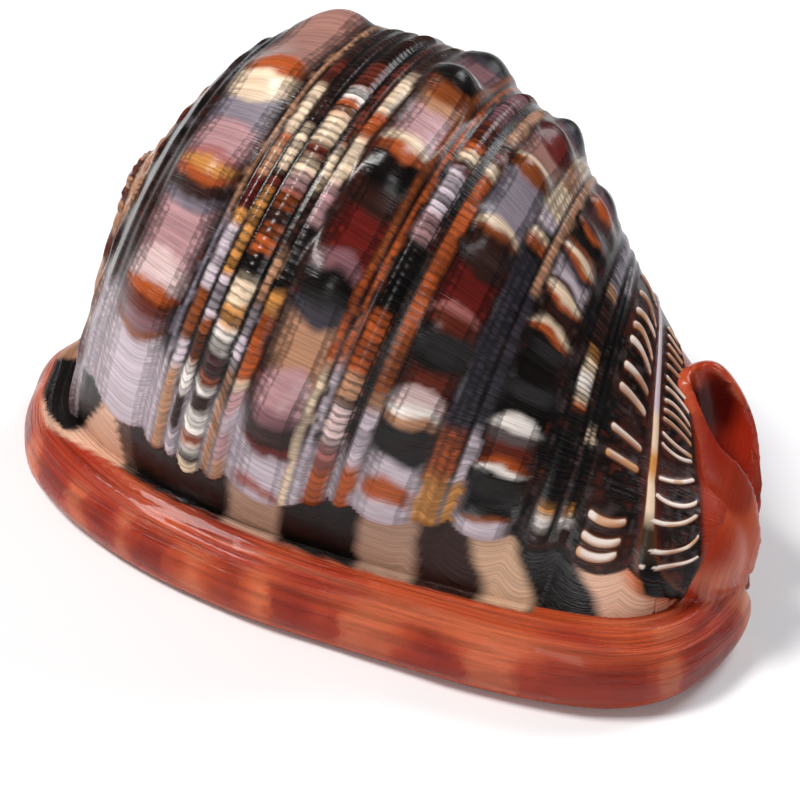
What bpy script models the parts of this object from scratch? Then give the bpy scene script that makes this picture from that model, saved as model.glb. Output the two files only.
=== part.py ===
"""A helmet shell lying on its aperture, as one closed solid with a real body chamber.

+Z is up and the shell rests on the flat band of its lip and shield at Z 0. +X points to the
siphonal canal, the spire is towards -X, and the thick outer lip is on the -Y side.
Sizes are in millimetres here and become metres when a mesh is written.
"""

import math

import bmesh
import bpy
import numpy as np
from mathutils import Matrix, Vector

METRES = 0.001

# Every point is moved by this much, so that the middle of the outline is at X 0 and Y 0
TO_MIDDLE = Vector((1.373, 0.607, 0.0))

# Coiling axis of the body whorl, from behind the spire to the canal end
AXIS_START = Vector((-76.1, 0.8, 47.9))
AXIS_END = Vector((72.3, 0.8, 20.4))
ALONG = (AXIS_END - AXIS_START).normalized()
ACROSS = Vector((0, 1, 0))
UPWARD = ALONG.cross(ACROSS)

# Radius of the whorl at stations along that axis: spire tip, shoulder, widest, canal end
STATIONS = (9, 12, 16, 20, 24, 30, 42, 58, 75, 92, 108, 122, 134, 143, 147)
RADII = (0, 6, 13, 21.5, 32, 41.7, 47.8, 50.7, 48.4, 40.3, 28.7, 19.6, 14.5, 8, 0)
LIP_SIDE_GROWTH = 0.09  # the whorl is this much wider at the lip, and narrower behind
SIDE_WIDTH = 0.995  # sideways width of a section as a share of its height
LIP_SIDE_TRIM = 0.075
BODY_FLOOR = 5.0  # the whorl is cut flat here, inside the shield
FLARE_SPAN = 60.0  # degrees over which the whorl widens down to the crease of the rim
FLARE_EASE = 1.6
WHORL_TUCK = 0.9  # its lower edge is sunk this far into the shield, inwards and down
BODY_AROUND = 58
BODY_RINGS = 46
BACK_SHARE = 0.88  # share of the vertices around the whorl that is spent above the crease
STEEPEST = -60.0  # lowest angle of that part at the two ends

# Rows of knobs: station at the crown, how far the row moves along the axis in half a turn,
# half width, height, angle of the first knob and spacing of the knobs in degrees
KNOB_ROWS = (
    (37.2, 2.3, 8.0, 3.0, 14.5, 29.3),
    (65.2, 5.1, 6.4, 3.4, 8.0, 27.2),
    (84.6, 9.8, 5.6, 2.8, 17.0, 22.0),
    (97.8, 15.3, 4.4, 1.3, 11.0, 13.2),
)
KNOBS_END = -8.0  # below this angle the back of the lip is smooth
KNOB_CREST = 1.4
# Raised spiral line near the canal, given as a row without knobs
LIP_RIDGE = (116.5, 28.0, 2.4, 1.2)

# Shield and lip seen from above: X, Y and the height of the crease where they meet the whorl
OUTLINE = (
    (-75, -6, 12), (-72.5, -23.5, 13), (-62.5, -41, 14), (-40, -52, 14.5), (-14, -55.4, 15),
    (14, -53, 15), (42, -48.3, 15), (61, -40, 15), (70.5, -26, 14.5), (72.6, -9, 13.5), (67.5, 7, 12),
    (59, 23, 10), (37, 40, 9), (5, 51, 8.5), (-35, 52, 9), (-64, 33, 10),
)
SHIELD_AROUND = 64
RIM_WIDTH = 8.5
# Section of the rim from the crease over its rounded edge: share of the width inwards, share of the height
RIM_SECTION = ((0.97, 1.0), (0.62, 0.96), (0.3, 0.82), (0.08, 0.6), (0, 0.36), (0.09, 0.13), (0.3, 0))
FLAT_BAND = 6.0  # width of the band that the shell rests on
FACE_RINGS = (0.25, 0.55, 0.8)  # shares of the way from the band to the middle of the face
HOLLOW_RISE = 2.6  # the face rises this much beside the aperture
HOLLOW_REACH = 22.0

# Siphonal canal: X, Y, Z of its middle, half width, half depth, and the way that its slit faces
CANAL = (
    (44, -13, 9, 10.0, 9.0, (0.0, 0.0, -1.0)),
    (58, -8, 10, 11.0, 9.0, (0.35, 0.0, -0.95)),
    (62, -3.5, 17, 11.5, 9.0, (0.95, 0.1, -0.3)),
    (59.5, -1, 27.5, 11.0, 8.0, (0.95, 0.1, 0.25)),
    (55, 1, 37, 10.0, 7.5, (0.85, 0.1, 0.5)),
    (48.5, 2.5, 44.5, 9.0, 7.0, (0.7, 0, 0.7)),
)
CANAL_WALL = 2.6
CHANNEL_SHIFT = 8.5  # the channel lies this much nearer to the slit than the tube, which opens it
CHANNEL_DEEPER = 4.0
CHANNEL_REACH = (0.0, 0.93)

# Aperture: X and Y of its middle line and its half width, from the spire end to the canal
APERTURE = (
    (-54, -18.5, 5), (-42, -20.5, 5.5), (-18, -23, 6.5), (12, -22, 6.0), (37, -16.5, 5.5), (62, -7, 5.5),
)
APERTURE_LENGTH = 120.0
ROUNDED_END = 0.07  # share of the length over which each end is rounded
# Heights of its sections and how much wider each is than the throat, with the share of tooth height
APERTURE_LEVELS = ((-3, 3.2, 0), (1.0, 2.6, 0), (3.6, 0.3, 0.8), (10, 0, 1), (14, 0.6, 0), (26, 0.6, 0))
LOW_END = (0.72, 0.9, 0.5)  # towards the canal its top comes down to this share, between two places
TOOTH_PITCH = 4.6
TOOTH_HEIGHT = 1.7
FOLD_HEIGHT = 1.1

# Body chamber: the whorl less its wall, above a floor
WALL = 6.0
CHAMBER_REACH = (25.0, 116.0)
CHAMBER_FLOOR = 17.0
CHAMBER_AROUND = 28
CHAMBER_RINGS = 18


def eased(place, knots, values):
    """Smooth curve through the table (knots, values) that never overshoots it."""
    knots, values = np.array(knots, float), np.array(values, float)
    step = np.diff(knots)
    rise = np.diff(values) / step
    slope = np.zeros(len(knots))
    for i in range(1, len(knots) - 1):
        if rise[i - 1] * rise[i] > 0:
            near, far = 2 * step[i] + step[i - 1], step[i] + 2 * step[i - 1]
            slope[i] = (near + far) / (near / rise[i - 1] + far / rise[i])
    slope[0], slope[-1] = rise[0], rise[-1]
    i = min(max(int(np.searchsorted(knots, place)) - 1, 0), len(step) - 1)
    t = (place - knots[i]) / step[i]
    start = (1 + 2 * t) * (1 - t) ** 2 * values[i] + t * (1 - t) ** 2 * step[i] * slope[i]
    end = t * t * (3 - 2 * t) * values[i + 1] - t * t * (1 - t) * step[i] * slope[i + 1]
    return float(start + end)


def smooth_curve(points, share, closed):
    """Point at this share (0 to 1) of a smooth curve through the points."""
    points = np.array(points, float)
    count = len(points)
    place = share * (count if closed else count - 1)
    i = int(place) if closed else min(int(place), count - 2)
    t = place - i
    near = (i - 1, i, i + 1, i + 2)
    if closed:
        a, b, c, d = (points[k % count] for k in near)
    else:
        a, b, c, d = (points[min(max(k, 0), count - 1)] for k in near)
    square = 2 * a - 5 * b + 4 * c - d
    cube = 3 * b - a - 3 * c + d
    return 0.5 * (2 * b + (c - a) * t + square * t**2 + cube * t**3)


def flat_normal(points, share):
    """Unit vector to the right of a curve in plan, at this share of it."""
    step = 0.002
    closed = points is OUTLINE
    low, high = share - step, share + step
    if not closed:
        low, high = max(low, 0), min(high, 1)
    way = smooth_curve(points, high % 1 if closed else high, closed)
    way = way - smooth_curve(points, low % 1 if closed else low, closed)
    return Vector((way[1], -way[0])).normalized()


def across_row(station, turn, centre, drift, half_width):
    """Distance from the middle of a spiral row, as a share of its half width."""
    return abs(station - centre - drift * (90 - turn) / 180) / half_width


def knob_height(station, turn):
    """How far knobs and the lip ridge stand out. turn runs from the lip side over the top."""
    raised = 0.0
    for centre, drift, half_width, height, first, spacing in KNOB_ROWS:
        across = across_row(station, turn, centre, drift, half_width)
        if across < 1:
            wave = 0.5 + 0.5 * math.cos(math.tau * (turn - first) / spacing)
            raised = max(raised, height * math.cos(across * math.pi / 2) * wave**KNOB_CREST)
    fade = min(max((turn - KNOBS_END) / 8, 0), 1)
    across = min(across_row(station, turn, *LIP_RIDGE[:3]), 1)
    return raised * fade + LIP_RIDGE[3] * math.cos(across * math.pi / 2)


def around_axis(point):
    """Station along the axis, angle around it (-90 is straight down) and distance from it."""
    out = point - AXIS_START
    station = out.dot(ALONG)
    up, back = out.dot(UPWARD), out.dot(ACROSS)
    turn = math.degrees(math.atan2(up, -back))
    return station, (turn + 90) % 360 - 90, math.hypot(up, back)


def crease_lines():
    """The crease on the lip side and on the back: rows of station, angle and distance from the axis."""
    sides = ([], [])
    for k in range(240):
        x, y, z = smooth_curve(OUTLINE, k / 240, True)
        inside = Vector((x, y)) - flat_normal(OUTLINE, k / 240) * (RIM_WIDTH + WHORL_TUCK)
        station, turn, distance = around_axis(Vector((inside.x, inside.y, z - WHORL_TUCK)))
        sides[0 if turn < 90 else 1].append((station, turn, distance))
    return [np.array(sorted(side)).T for side in sides]


def base_radius(station, turn):
    """Distance from the axis to the plain whorl."""
    angle = math.radians(turn)
    growth = LIP_SIDE_GROWTH * (90 - turn) / 90
    radius = eased(station, STATIONS, RADII) * (1 + growth)
    sideways = SIDE_WIDTH - LIP_SIDE_TRIM * math.cos(angle)
    return radius, Vector((0, -math.cos(angle) * sideways, math.sin(angle)))


def flare(station, turn, creases):
    """How much the whorl widens at this angle so that it ends on the crease."""
    wider = 0.0
    for side, (stations, turns, distances) in zip((1, -1), creases):
        before = (station - STATIONS[0]) / (stations[0] - STATIONS[0])
        after = (STATIONS[-1] - station) / (STATIONS[-1] - stations[-1])
        fade = min(max(before, 0), max(after, 0), 1)
        edge_turn = np.interp(station, stations, turns)
        edge = np.interp(station, stations, distances)
        radius, way = base_radius(station, edge_turn)
        beyond = (turn - edge_turn) * side / FLARE_SPAN
        share = min(max(1 - beyond, 0), 1) ** FLARE_EASE
        wider += (edge / math.hypot(way.y, way.z) - radius) * share * fade * fade * (3 - 2 * fade)
    return wider


def whorl_point(station, turn, inset=0.0, creases=()):
    """Point of the whorl's surface at this turn around the axis, or one inset from it."""
    radius, way = base_radius(station, turn)
    if inset:
        radius -= inset
    else:
        radius += knob_height(station, turn) + flare(station, turn, creases)
    return AXIS_START + ALONG * station + (ACROSS * way.y + UPWARD * way.z) * radius


def shaped_sphere(bm, around, rings, place):
    """A UV sphere whose vertices go to place(share from pole to pole, share around)."""
    bmesh.ops.create_uvsphere(bm, u_segments=around, v_segments=rings, radius=1)
    for v in bm.verts:
        along = math.acos(max(-1, min(1, v.co.z))) / math.pi
        v.co = place(along, (math.atan2(v.co.y, v.co.x) / math.tau) % 1)


def whorl_body(bm):
    creases = crease_lines()

    def place(along, around):
        station = STATIONS[0] + (STATIONS[-1] - STATIONS[0]) * along
        ends = [float(np.interp(station, line[0], line[1])) for line in creases]
        first, last = max(ends[0], STEEPEST), min(ends[1], 180 - STEEPEST)
        if station < creases[0][0][0] or station > creases[0][0][-1]:
            first, last = STEEPEST, 180 - STEEPEST
        turn = float(np.interp(around, (0, BACK_SHARE, 1), (first, last, first + 360)))
        if around > BACK_SHARE:
            return under_point(station, turn, first, last, creases)
        point = whorl_point(station, turn, 0, creases)
        point.z = max(point.z, BODY_FLOOR)
        return point

    shaped_sphere(bm, BODY_AROUND, BODY_RINGS, place)


def under_point(station, turn, first, last, creases):
    """Point below the crease, inside the shield, between the two ends of the whorl's back."""
    share = (turn - last) / (first + 360 - last)
    back, lip = whorl_point(station, last, 0, creases), whorl_point(station, first, 0, creases)
    point = back.lerp(lip, share)
    middle = AXIS_START + ALONG * station
    sag = math.sin(share * math.pi)
    point = point.lerp(middle, 0.12)
    point.z = max(point.z - sag * eased(station, STATIONS, RADII), BODY_FLOOR)
    return point


def aperture_distance(x, y):
    """Distance in plan from the middle line of the aperture."""
    line = [smooth_curve(APERTURE, k / 40, False)[:2] for k in range(41)]
    return min(math.hypot(x - p[0], y - p[1]) for p in line)


def shield(bm):
    rings = len(RIM_SECTION) + 1 + len(FACE_RINGS) + 1
    centre = Vector((0, -6))

    def place(along, around):
        ring = round(along * (rings + 1))
        x, y, crease = smooth_curve(OUTLINE, around, True)
        edge, inwards = Vector((x, y)), -flat_normal(OUTLINE, around)
        if ring == 0:
            return Vector((centre.x, centre.y, crease))
        if ring == rings + 1:
            return Vector((centre.x, centre.y, HOLLOW_RISE))
        if ring == 1:
            deep = edge + inwards * RIM_WIDTH
            point = deep.lerp(centre, 0.3)
            return Vector((point.x, point.y, crease - 1))
        if ring <= len(RIM_SECTION) + 1:
            share, height = RIM_SECTION[ring - 2]
            point = edge + inwards * RIM_WIDTH * share
            return Vector((point.x, point.y, crease * height))
        band = edge + inwards * (RIM_WIDTH * RIM_SECTION[-1][0] + FLAT_BAND)
        step = ring - len(RIM_SECTION) - 2
        if step == 0:
            return Vector((band.x, band.y, 0))
        point = band.lerp(centre, FACE_RINGS[step - 1])
        near = max(0, 1 - aperture_distance(point.x, point.y) / HOLLOW_REACH)
        return Vector((point.x, point.y, HOLLOW_RISE * near * (2 - near)))

    shaped_sphere(bm, SHIELD_AROUND, rings + 1, place)


def canal_tube(bm, inset, deeper, shift, reach, around, rings):
    """The canal or its channel: a closed tube along the CANAL path."""
    path = [row[:5] for row in CANAL]
    ways = [row[5] for row in CANAL]

    def place(along, turn_share):
        low, high = reach
        share = low + (high - low) * (0.5 - 0.5 * math.cos(along * math.pi))
        closing = math.sin(min(max(along, 0), 1) * math.pi) ** 0.6
        x, y, z, half_width, half_depth = smooth_curve(path, share, False)
        ahead = smooth_curve(path, min(share + 0.01, 1), False)[:3]
        behind = smooth_curve(path, max(share - 0.01, 0), False)[:3]
        forward = Vector(ahead - behind).normalized()
        slit = Vector(smooth_curve(ways, share, False))
        slit = (slit - forward * slit.dot(forward)).normalized()
        side = forward.cross(slit)
        angle = turn_share * math.tau
        out = slit * (half_depth + deeper) * math.cos(angle) + side * (half_width - inset) * math.sin(angle)
        return Vector((x, y, z)) + slit * shift + out * closing

    shaped_sphere(bm, around, rings, place)


def level_height(height, share):
    """Height of the aperture's cutter, lower above the throat where it runs into the canal."""
    start, stop, lowest = LOW_END
    if height < 10:
        return height
    return height * float(np.interp(share, (start, stop), (1, lowest)))


def aperture(bm):
    """The toothed slit between lip and shield, wider at the face than in its throat."""
    steps = 72
    loop = []
    for side, toothed in ((-1, TOOTH_HEIGHT), (1, FOLD_HEIGHT)):
        for k in range(steps):
            share = (k + 0.5) / steps
            share = share if side < 0 else 1 - share
            loop.append((share, side, toothed))
    rows = []
    for height, wider, toothing in APERTURE_LEVELS:
        row = []
        for share, side, toothed in loop:
            x, y, half_width = smooth_curve(APERTURE, share, False)
            beat = math.tau * share * APERTURE_LENGTH / TOOTH_PITCH
            tooth = toothed * toothing * (0.5 - 0.5 * math.cos(beat))
            end = min(share, 1 - share) / ROUNDED_END
            rounded = math.sqrt(1 - (1 - end) ** 2) if end < 1 else 1
            out = flat_normal(APERTURE, share) * -side * (half_width + wider - tooth) * rounded
            row.append(bm.verts.new((x + out.x, y + out.y, level_height(height, share))))
        rows.append(row)
    for lower, upper in zip(rows, rows[1:]):
        for k in range(len(lower)):
            n = (k + 1) % len(lower)
            bm.faces.new((lower[k], lower[n], upper[n], upper[k]))
    bm.faces.new(rows[0])
    bm.faces.new(rows[-1])


def chamber(bm):
    def place(along, around):
        low, high = CHAMBER_REACH
        station = low + (high - low) * (0.5 - 0.5 * math.cos(along * math.pi))
        closing = math.sin(min(max(along, 0), 1) * math.pi) ** 0.6
        turn = around * 360 - 90
        outer = whorl_point(station, turn, WALL)
        middle = AXIS_START + ALONG * station
        point = middle + (outer - middle) * closing
        point.z = max(point.z, CHAMBER_FLOOR)
        return point

    shaped_sphere(bm, CHAMBER_AROUND, CHAMBER_RINGS, place)


def shell_material():
    made = bpy.data.materials.new("shell")
    made.use_nodes = True
    surface = made.node_tree.nodes["Principled BSDF"]
    surface.inputs["Base Color"].default_value = (0.42, 0.16, 0.07, 1)
    surface.inputs["Roughness"].default_value = 0.3
    return made


def solid(name, fill, *sizes):
    """A new object whose mesh fill(bm) draws in millimetres."""
    mesh = bpy.data.meshes.new(name)
    bm = bmesh.new()
    fill(bm, *sizes)
    bmesh.ops.recalc_face_normals(bm, faces=bm.faces)
    if bm.calc_volume(signed=True) < 0:
        bmesh.ops.reverse_faces(bm, faces=bm.faces)
    bmesh.ops.translate(bm, vec=TO_MIDDLE, verts=bm.verts)
    bmesh.ops.transform(bm, matrix=Matrix.Scale(METRES, 4), verts=bm.verts)
    bm.to_mesh(mesh)
    bm.free()
    mesh.shade_smooth()
    made = bpy.data.objects.new(name, mesh)
    bpy.context.scene.collection.objects.link(made)
    return made


def combine(target, tool, operation):
    step = target.modifiers.new(tool.name, "BOOLEAN")
    step.operation = operation
    step.solver = "EXACT"
    step.object = tool
    tool.hide_render = True
    tool.display_type = "WIRE"


def main():
    for old in list(bpy.data.objects):
        bpy.data.objects.remove(old)
    shell = solid("helmet_shell", whorl_body)
    shell.data.materials.append(shell_material())
    combine(shell, solid("shield", shield), "UNION")
    combine(shell, solid("canal", canal_tube, 0, 0, 0, (0, 1), 28, 16), "UNION")
    combine(shell, solid("chamber", chamber), "DIFFERENCE")
    channel = solid("channel", canal_tube, CANAL_WALL, CHANNEL_DEEPER, CHANNEL_SHIFT, CHANNEL_REACH, 22, 14)
    combine(shell, channel, "DIFFERENCE")
    combine(shell, solid("aperture", aperture), "DIFFERENCE")


main()
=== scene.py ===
"""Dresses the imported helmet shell: a sculpted body whorl, a glossy lip, shield and canal, and a studio.

Sizes are in millimetres while a piece is shaped and become metres when its mesh is written.
The whorl is described by two places: row_place, along its coiling axis and following the spiral
rows from the spire (9) to the canal (147), and turn, the angle around that axis in degrees
(-90 straight down, 0 the lip side, 90 the top, 180 the back).
"""

import math

import bmesh
import bpy
import numpy as np
from mathutils import Matrix, Vector


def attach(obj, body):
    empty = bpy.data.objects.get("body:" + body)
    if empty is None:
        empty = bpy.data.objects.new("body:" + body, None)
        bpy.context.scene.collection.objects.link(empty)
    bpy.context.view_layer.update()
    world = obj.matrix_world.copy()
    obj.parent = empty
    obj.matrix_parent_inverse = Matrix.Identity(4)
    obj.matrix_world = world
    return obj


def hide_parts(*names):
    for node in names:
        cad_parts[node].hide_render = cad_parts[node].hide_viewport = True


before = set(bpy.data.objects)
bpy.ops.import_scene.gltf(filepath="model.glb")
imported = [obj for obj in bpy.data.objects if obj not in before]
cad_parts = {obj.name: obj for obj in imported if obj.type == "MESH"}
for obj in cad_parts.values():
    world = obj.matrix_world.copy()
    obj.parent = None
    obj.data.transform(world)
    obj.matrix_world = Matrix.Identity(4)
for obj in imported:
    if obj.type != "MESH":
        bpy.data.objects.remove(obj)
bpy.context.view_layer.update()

bl_info = {
    "name": "Helmet shell finish",
    "version": (1, 0, 0),
    "blender": (4, 5, 0),
    "location": "3D View > Sidebar > Shell",
    "description": "Models and colours a helmet shell on its packed solid, with a plain studio",
    "category": "Object",
}

NODE = "helmet_shell"
METRES = 0.001

# Place and proportions of the shell, which its solid shares
TO_MIDDLE = np.array((1.373, 0.607, 0.0))
AXIS_START = np.array((-76.1, 0.8, 47.9))
AXIS_END = np.array((72.3, 0.8, 20.4))
ALONG = (AXIS_END - AXIS_START) / np.linalg.norm(AXIS_END - AXIS_START)
ACROSS = np.array((0.0, 1.0, 0.0))
UPWARD = np.cross(ALONG, ACROSS)
STATIONS = (9, 12, 16, 20, 24, 30, 42, 58, 75, 92, 108, 122, 134, 143, 147)
RADII = (0, 6, 13, 21.5, 32, 41.7, 47.8, 50.7, 48.4, 40.3, 28.7, 19.6, 14.5, 8, 0)
LIP_SIDE_GROWTH = 0.09
SIDE_WIDTH = 0.995
LIP_SIDE_TRIM = 0.075
BODY_FLOOR = 5.0
FLARE_SPAN = 60.0
FLARE_EASE = 1.6
WHORL_TUCK = 0.9
STEEPEST = -60.0

# How far a spiral row moves along the axis in half a turn, by its place
SPIRAL_PLACES = (9, 22, 30, 50, 65, 85, 97, 118, 130, 147)
SPIRAL_DRIFT = (0, 0.8, 2, 3, 5.1, 9.8, 15.2, 27, 31, 34)

# Shares of the whorl's rings and of the vertices around it, and the places that they reach
RING_SHARES = (0, 0.19, 0.84, 0.955, 1)
RING_PLACES = (9, 29, 117, 129, 147)
LAST_ALIGNED = 126.0
TURN_SHARES = (0, 0.63, 0.93, 1)
TOP_TURN = 112.0
SOFT_END = (138.0, 8.0)
# The lowest columns of vertices: the share around that they take up, and the turn that they end at
STRIP = (0.07, -8.0)

# Rows of knobs: place, half width, height, first knob's angle, spacing in degrees, sharpness
KNOB_ROWS = (
    (37.2, 8.0, 3.0, 14.5, 29.3, 1.4),
    (65.2, 6.4, 3.5, 8.0, 27.2, 1.5),
    (84.6, 5.6, 2.9, 17.0, 22.0, 1.5),
    (97.8, 4.4, 1.5, 11.0, 13.2, 1.2),
)
# Spiral cords: place, half width, height, size of their beads
CORDS = (
    (25.0, 0.8, 0.35, 0.5), (27.3, 0.8, 0.35, 0.5), (29.4, 0.8, 0.35, 0.5), (31.3, 0.6, 0.25, 0.4),
    (44.4, 0.6, 0.35, 0.4), (46.5, 1.15, 0.6, 0.7), (49.1, 1.15, 0.6, 0.7), (52.9, 2.0, 1.0, 1.0),
    (56.2, 0.9, 0.45, 0.6), (58.5, 1.2, 0.65, 0.8), (60.6, 0.6, 0.3, 0.4), (61.9, 0.6, 0.3, 0.4),
    (70.1, 0.7, 0.4, 0.5), (71.8, 0.6, 0.35, 0.4), (74.6, 1.7, 0.8, 1.0), (76.9, 0.5, 0.3, 0.3),
    (78.8, 1.2, 0.6, 0.8), (90.3, 1.8, 0.55, 0.8), (93.2, 0.9, 0.4, 0.6), (102.2, 0.7, 0.3, 0.4),
    (105.0, 1.2, 0.45, 0.7), (107.7, 0.8, 0.35, 0.5), (109.5, 0.5, 0.25, 0.3),
)
BEAD_PITCH = 1.75
BEAD_SHIFT = 0.37
# Places of the grooves between the cords, and on both sides of each band of knobs
GROOVES = (
    9, 22.5, 23.6, 24.7, 25.8, 26.9, 28.0, 29.1, 30.2, 31.3, 32.4, 33.5, 40.8, 41.9, 42.8, 43.9, 45.2, 47.8,
    50.5, 55.1, 57.1, 60.0, 61.2, 62.3, 63.3, 68.3, 69.4, 70.9, 72.4, 76.3, 77.4, 80.2, 81.2, 82.2, 87.2,
    88.4, 89.6, 90.9, 92.2, 94.3, 95.4, 100.3, 101.3, 102.3, 103.5, 106.5, 107.6, 108.8, 110.0, 147,
)
# Ribs that stand across two narrow rows: the places of one end, the middle and the other end, half
# thickness in degrees, and the turn of each rib at those three places
RIB_ROWS = (
    ((110.4, 113.0, 115.4), 1.8, (
        (113, 115, 110), (99.3, 102.3, 96), (89.1, 91.9, 89.7), (81.8, 83.9, 78.1), (75.2, 76.1, 71.3),
        (64.2, 64.7, 61.9), (55.5, 55, 52.6), (39.2, 37.9, 36), (28.8, 27.9, 27.1), (8.7, 7.7, 9.4),
        (3.2, 2.3, 4.1), (-0.7, -1.3, 0.6))),
    ((118.9, 121.6, 124.4), 1.15, (
        (108, 108.5, 106), (102, 102.5, 100), (96, 96.5, 94.5), (90, 90.7, 89), (84, 84.7, 83),
        (77.7, 76.7, 75), (72, 72.3, 68.5), (65.6, 66.8, 62), (60.8, 61.5, 58), (56.6, 56.2, 53.1),
        (49.7, 47.5, 47), (44.6, 42.4, 44.5), (28, 30.2, 35.2), (21.3, 20.7, 26), (12.8, 14.4, 21.9),
        (5, 5.5, 15), (-0.2, 0.8, 6.5))),
)
# How far the second row's far end and middle move outwards, by turn
RIB_STRETCH = ((8, 22, 38), (3.2, 1.6, 0.0))
RIB_HEIGHT = 0.65
RIB_THINNING = ((5, 25, 45), (0.66, 0.8, 1.0))
RIB_ENDS = 0.3
RIB_FALL = 0.9
BEFORE_FIRST_RIB = 7
AFTER_LAST_RIB = 5
PAST_RIB_END = 2.2
PAST_OUTER_RIB = 6
RIB_ROW_STEP = 40
FAR_FROM_RIBS = 9.0
# Thin ridge between those two rows: turns, and its place and half width there
RIDGE_TURNS = (-16, -8.3, -2.4, 4, 12.7, 26, 48, 70, 86, 110)
RIDGE_PLACES = (130, 122.4, 120.6, 119.3, 118.6, 117.7, 117.6, 117.2, 116.9, 116.4)
RIDGE_WIDTHS = (2.4, 2.1, 1.7, 1.1, 0.8, 0.6, 0.6, 0.55, 0.5, 0.5)
RIDGE_HEIGHT = 0.6
RIDGE_FALL = 0.7
RIDGE_MARKS = (
    (115, 58, "lilac_white"), (55, 40, "cream"), (37, 28, "gold"), (25, 14, "cream"), (11, 3, "olive"),
    (1, -16, "black"),
)

# Where the sculpture ends above the smooth back of the lip: place, half width, angle of each tip
SCALLOPS = (
    (27.5, 3.5, -15), (35.6, 6.0, -17), (45.6, 2.6, -15.5), (49.2, 1.6, -14.5), (52.9, 2.3, -16),
    (57.4, 2.2, -14), (65.8, 6.0, -13.7), (74.0, 2.4, -9), (78.4, 2.2, -7), (84.6, 4.8, -7.8),
    (91.0, 2.6, -5.3), (97.6, 4.2, -5.2), (105.0, 3.6, -4), (113.0, 4.4, -5.5), (122.0, 4.5, -5.5),
    (127.5, 2.5, -20),
)
SCALLOP_RISE = 3.2
SCALLOP_STEP = 0.45
HIGHEST_EDGE = -1.0
# The sculpture reaches further down over the spire: how far, and the places that this fades between
SPIRE_LOWERING = 80
SPIRE_LOWERED = (23, 27)

# Older whorls on the spire: place taken up by each, share that rises, height, and knobs on them
SPIRE_STEP = 5.2
SPIRE_RISER = 0.75
SPIRE_HEIGHT = 1.6
SPIRE_KNOB = 1.0
SPIRE_KNOB_SPACING = 16
SPIRE_STARTS = (10, 13)
SPIRE_ENDS = (25, 29)

# Fine relief: how flat cords are on knobs, growth lines, and turns where knobs and cords fade
CORDS_LOST = 0.85
GROWTH_RELIEF = 0.07
KNOBS_START = (-12, 4)
BACK_END = (216, 196)

# Shell colours as seen, red, green and blue
PALETTE = {
    "black": (0.058, 0.032, 0.028),
    "brown": (0.17, 0.085, 0.065),
    "maroon": (0.24, 0.10, 0.09),
    "olive": (0.22, 0.17, 0.12),
    "mauve_dark": (0.26, 0.16, 0.16),
    "red_brown": (0.34, 0.13, 0.08),
    "deep_red": (0.36, 0.09, 0.07),
    "slate": (0.20, 0.18, 0.21),
    "grey_brown": (0.34, 0.28, 0.28),
    "grey": (0.46, 0.42, 0.46),
    "mauve": (0.46, 0.31, 0.33),
    "rose": (0.60, 0.36, 0.34),
    "rose_tan": (0.60, 0.43, 0.39),
    "orange": (0.62, 0.29, 0.13),
    "amber": (0.48, 0.24, 0.11),
    "gold": (0.74, 0.50, 0.26),
    "tan": (0.66, 0.48, 0.37),
    "pale_tan": (0.66, 0.52, 0.44),
    "sand": (0.76, 0.61, 0.50),
    "pink": (0.66, 0.50, 0.51),
    "pale_pink": (0.78, 0.67, 0.66),
    "lilac_grey": (0.50, 0.46, 0.50),
    "lilac_white": (0.74, 0.68, 0.71),
    "cream": (0.86, 0.76, 0.65),
    "white": (0.90, 0.86, 0.83),
    "peach_white": (0.84, 0.66, 0.56),
    "lip": (0.60, 0.18, 0.09),
    "lip_red": (0.46, 0.085, 0.045),
    "lip_peach": (0.78, 0.43, 0.29),
    "lip_orange": (0.69, 0.28, 0.14),
    # painted shade deep inside the canal
    "canal_shade": (0.27, 0.03, 0.015),
    "canal_glow": (0.62, 0.15, 0.07),
    "tooth": (0.92, 0.76, 0.62),
}

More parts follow.
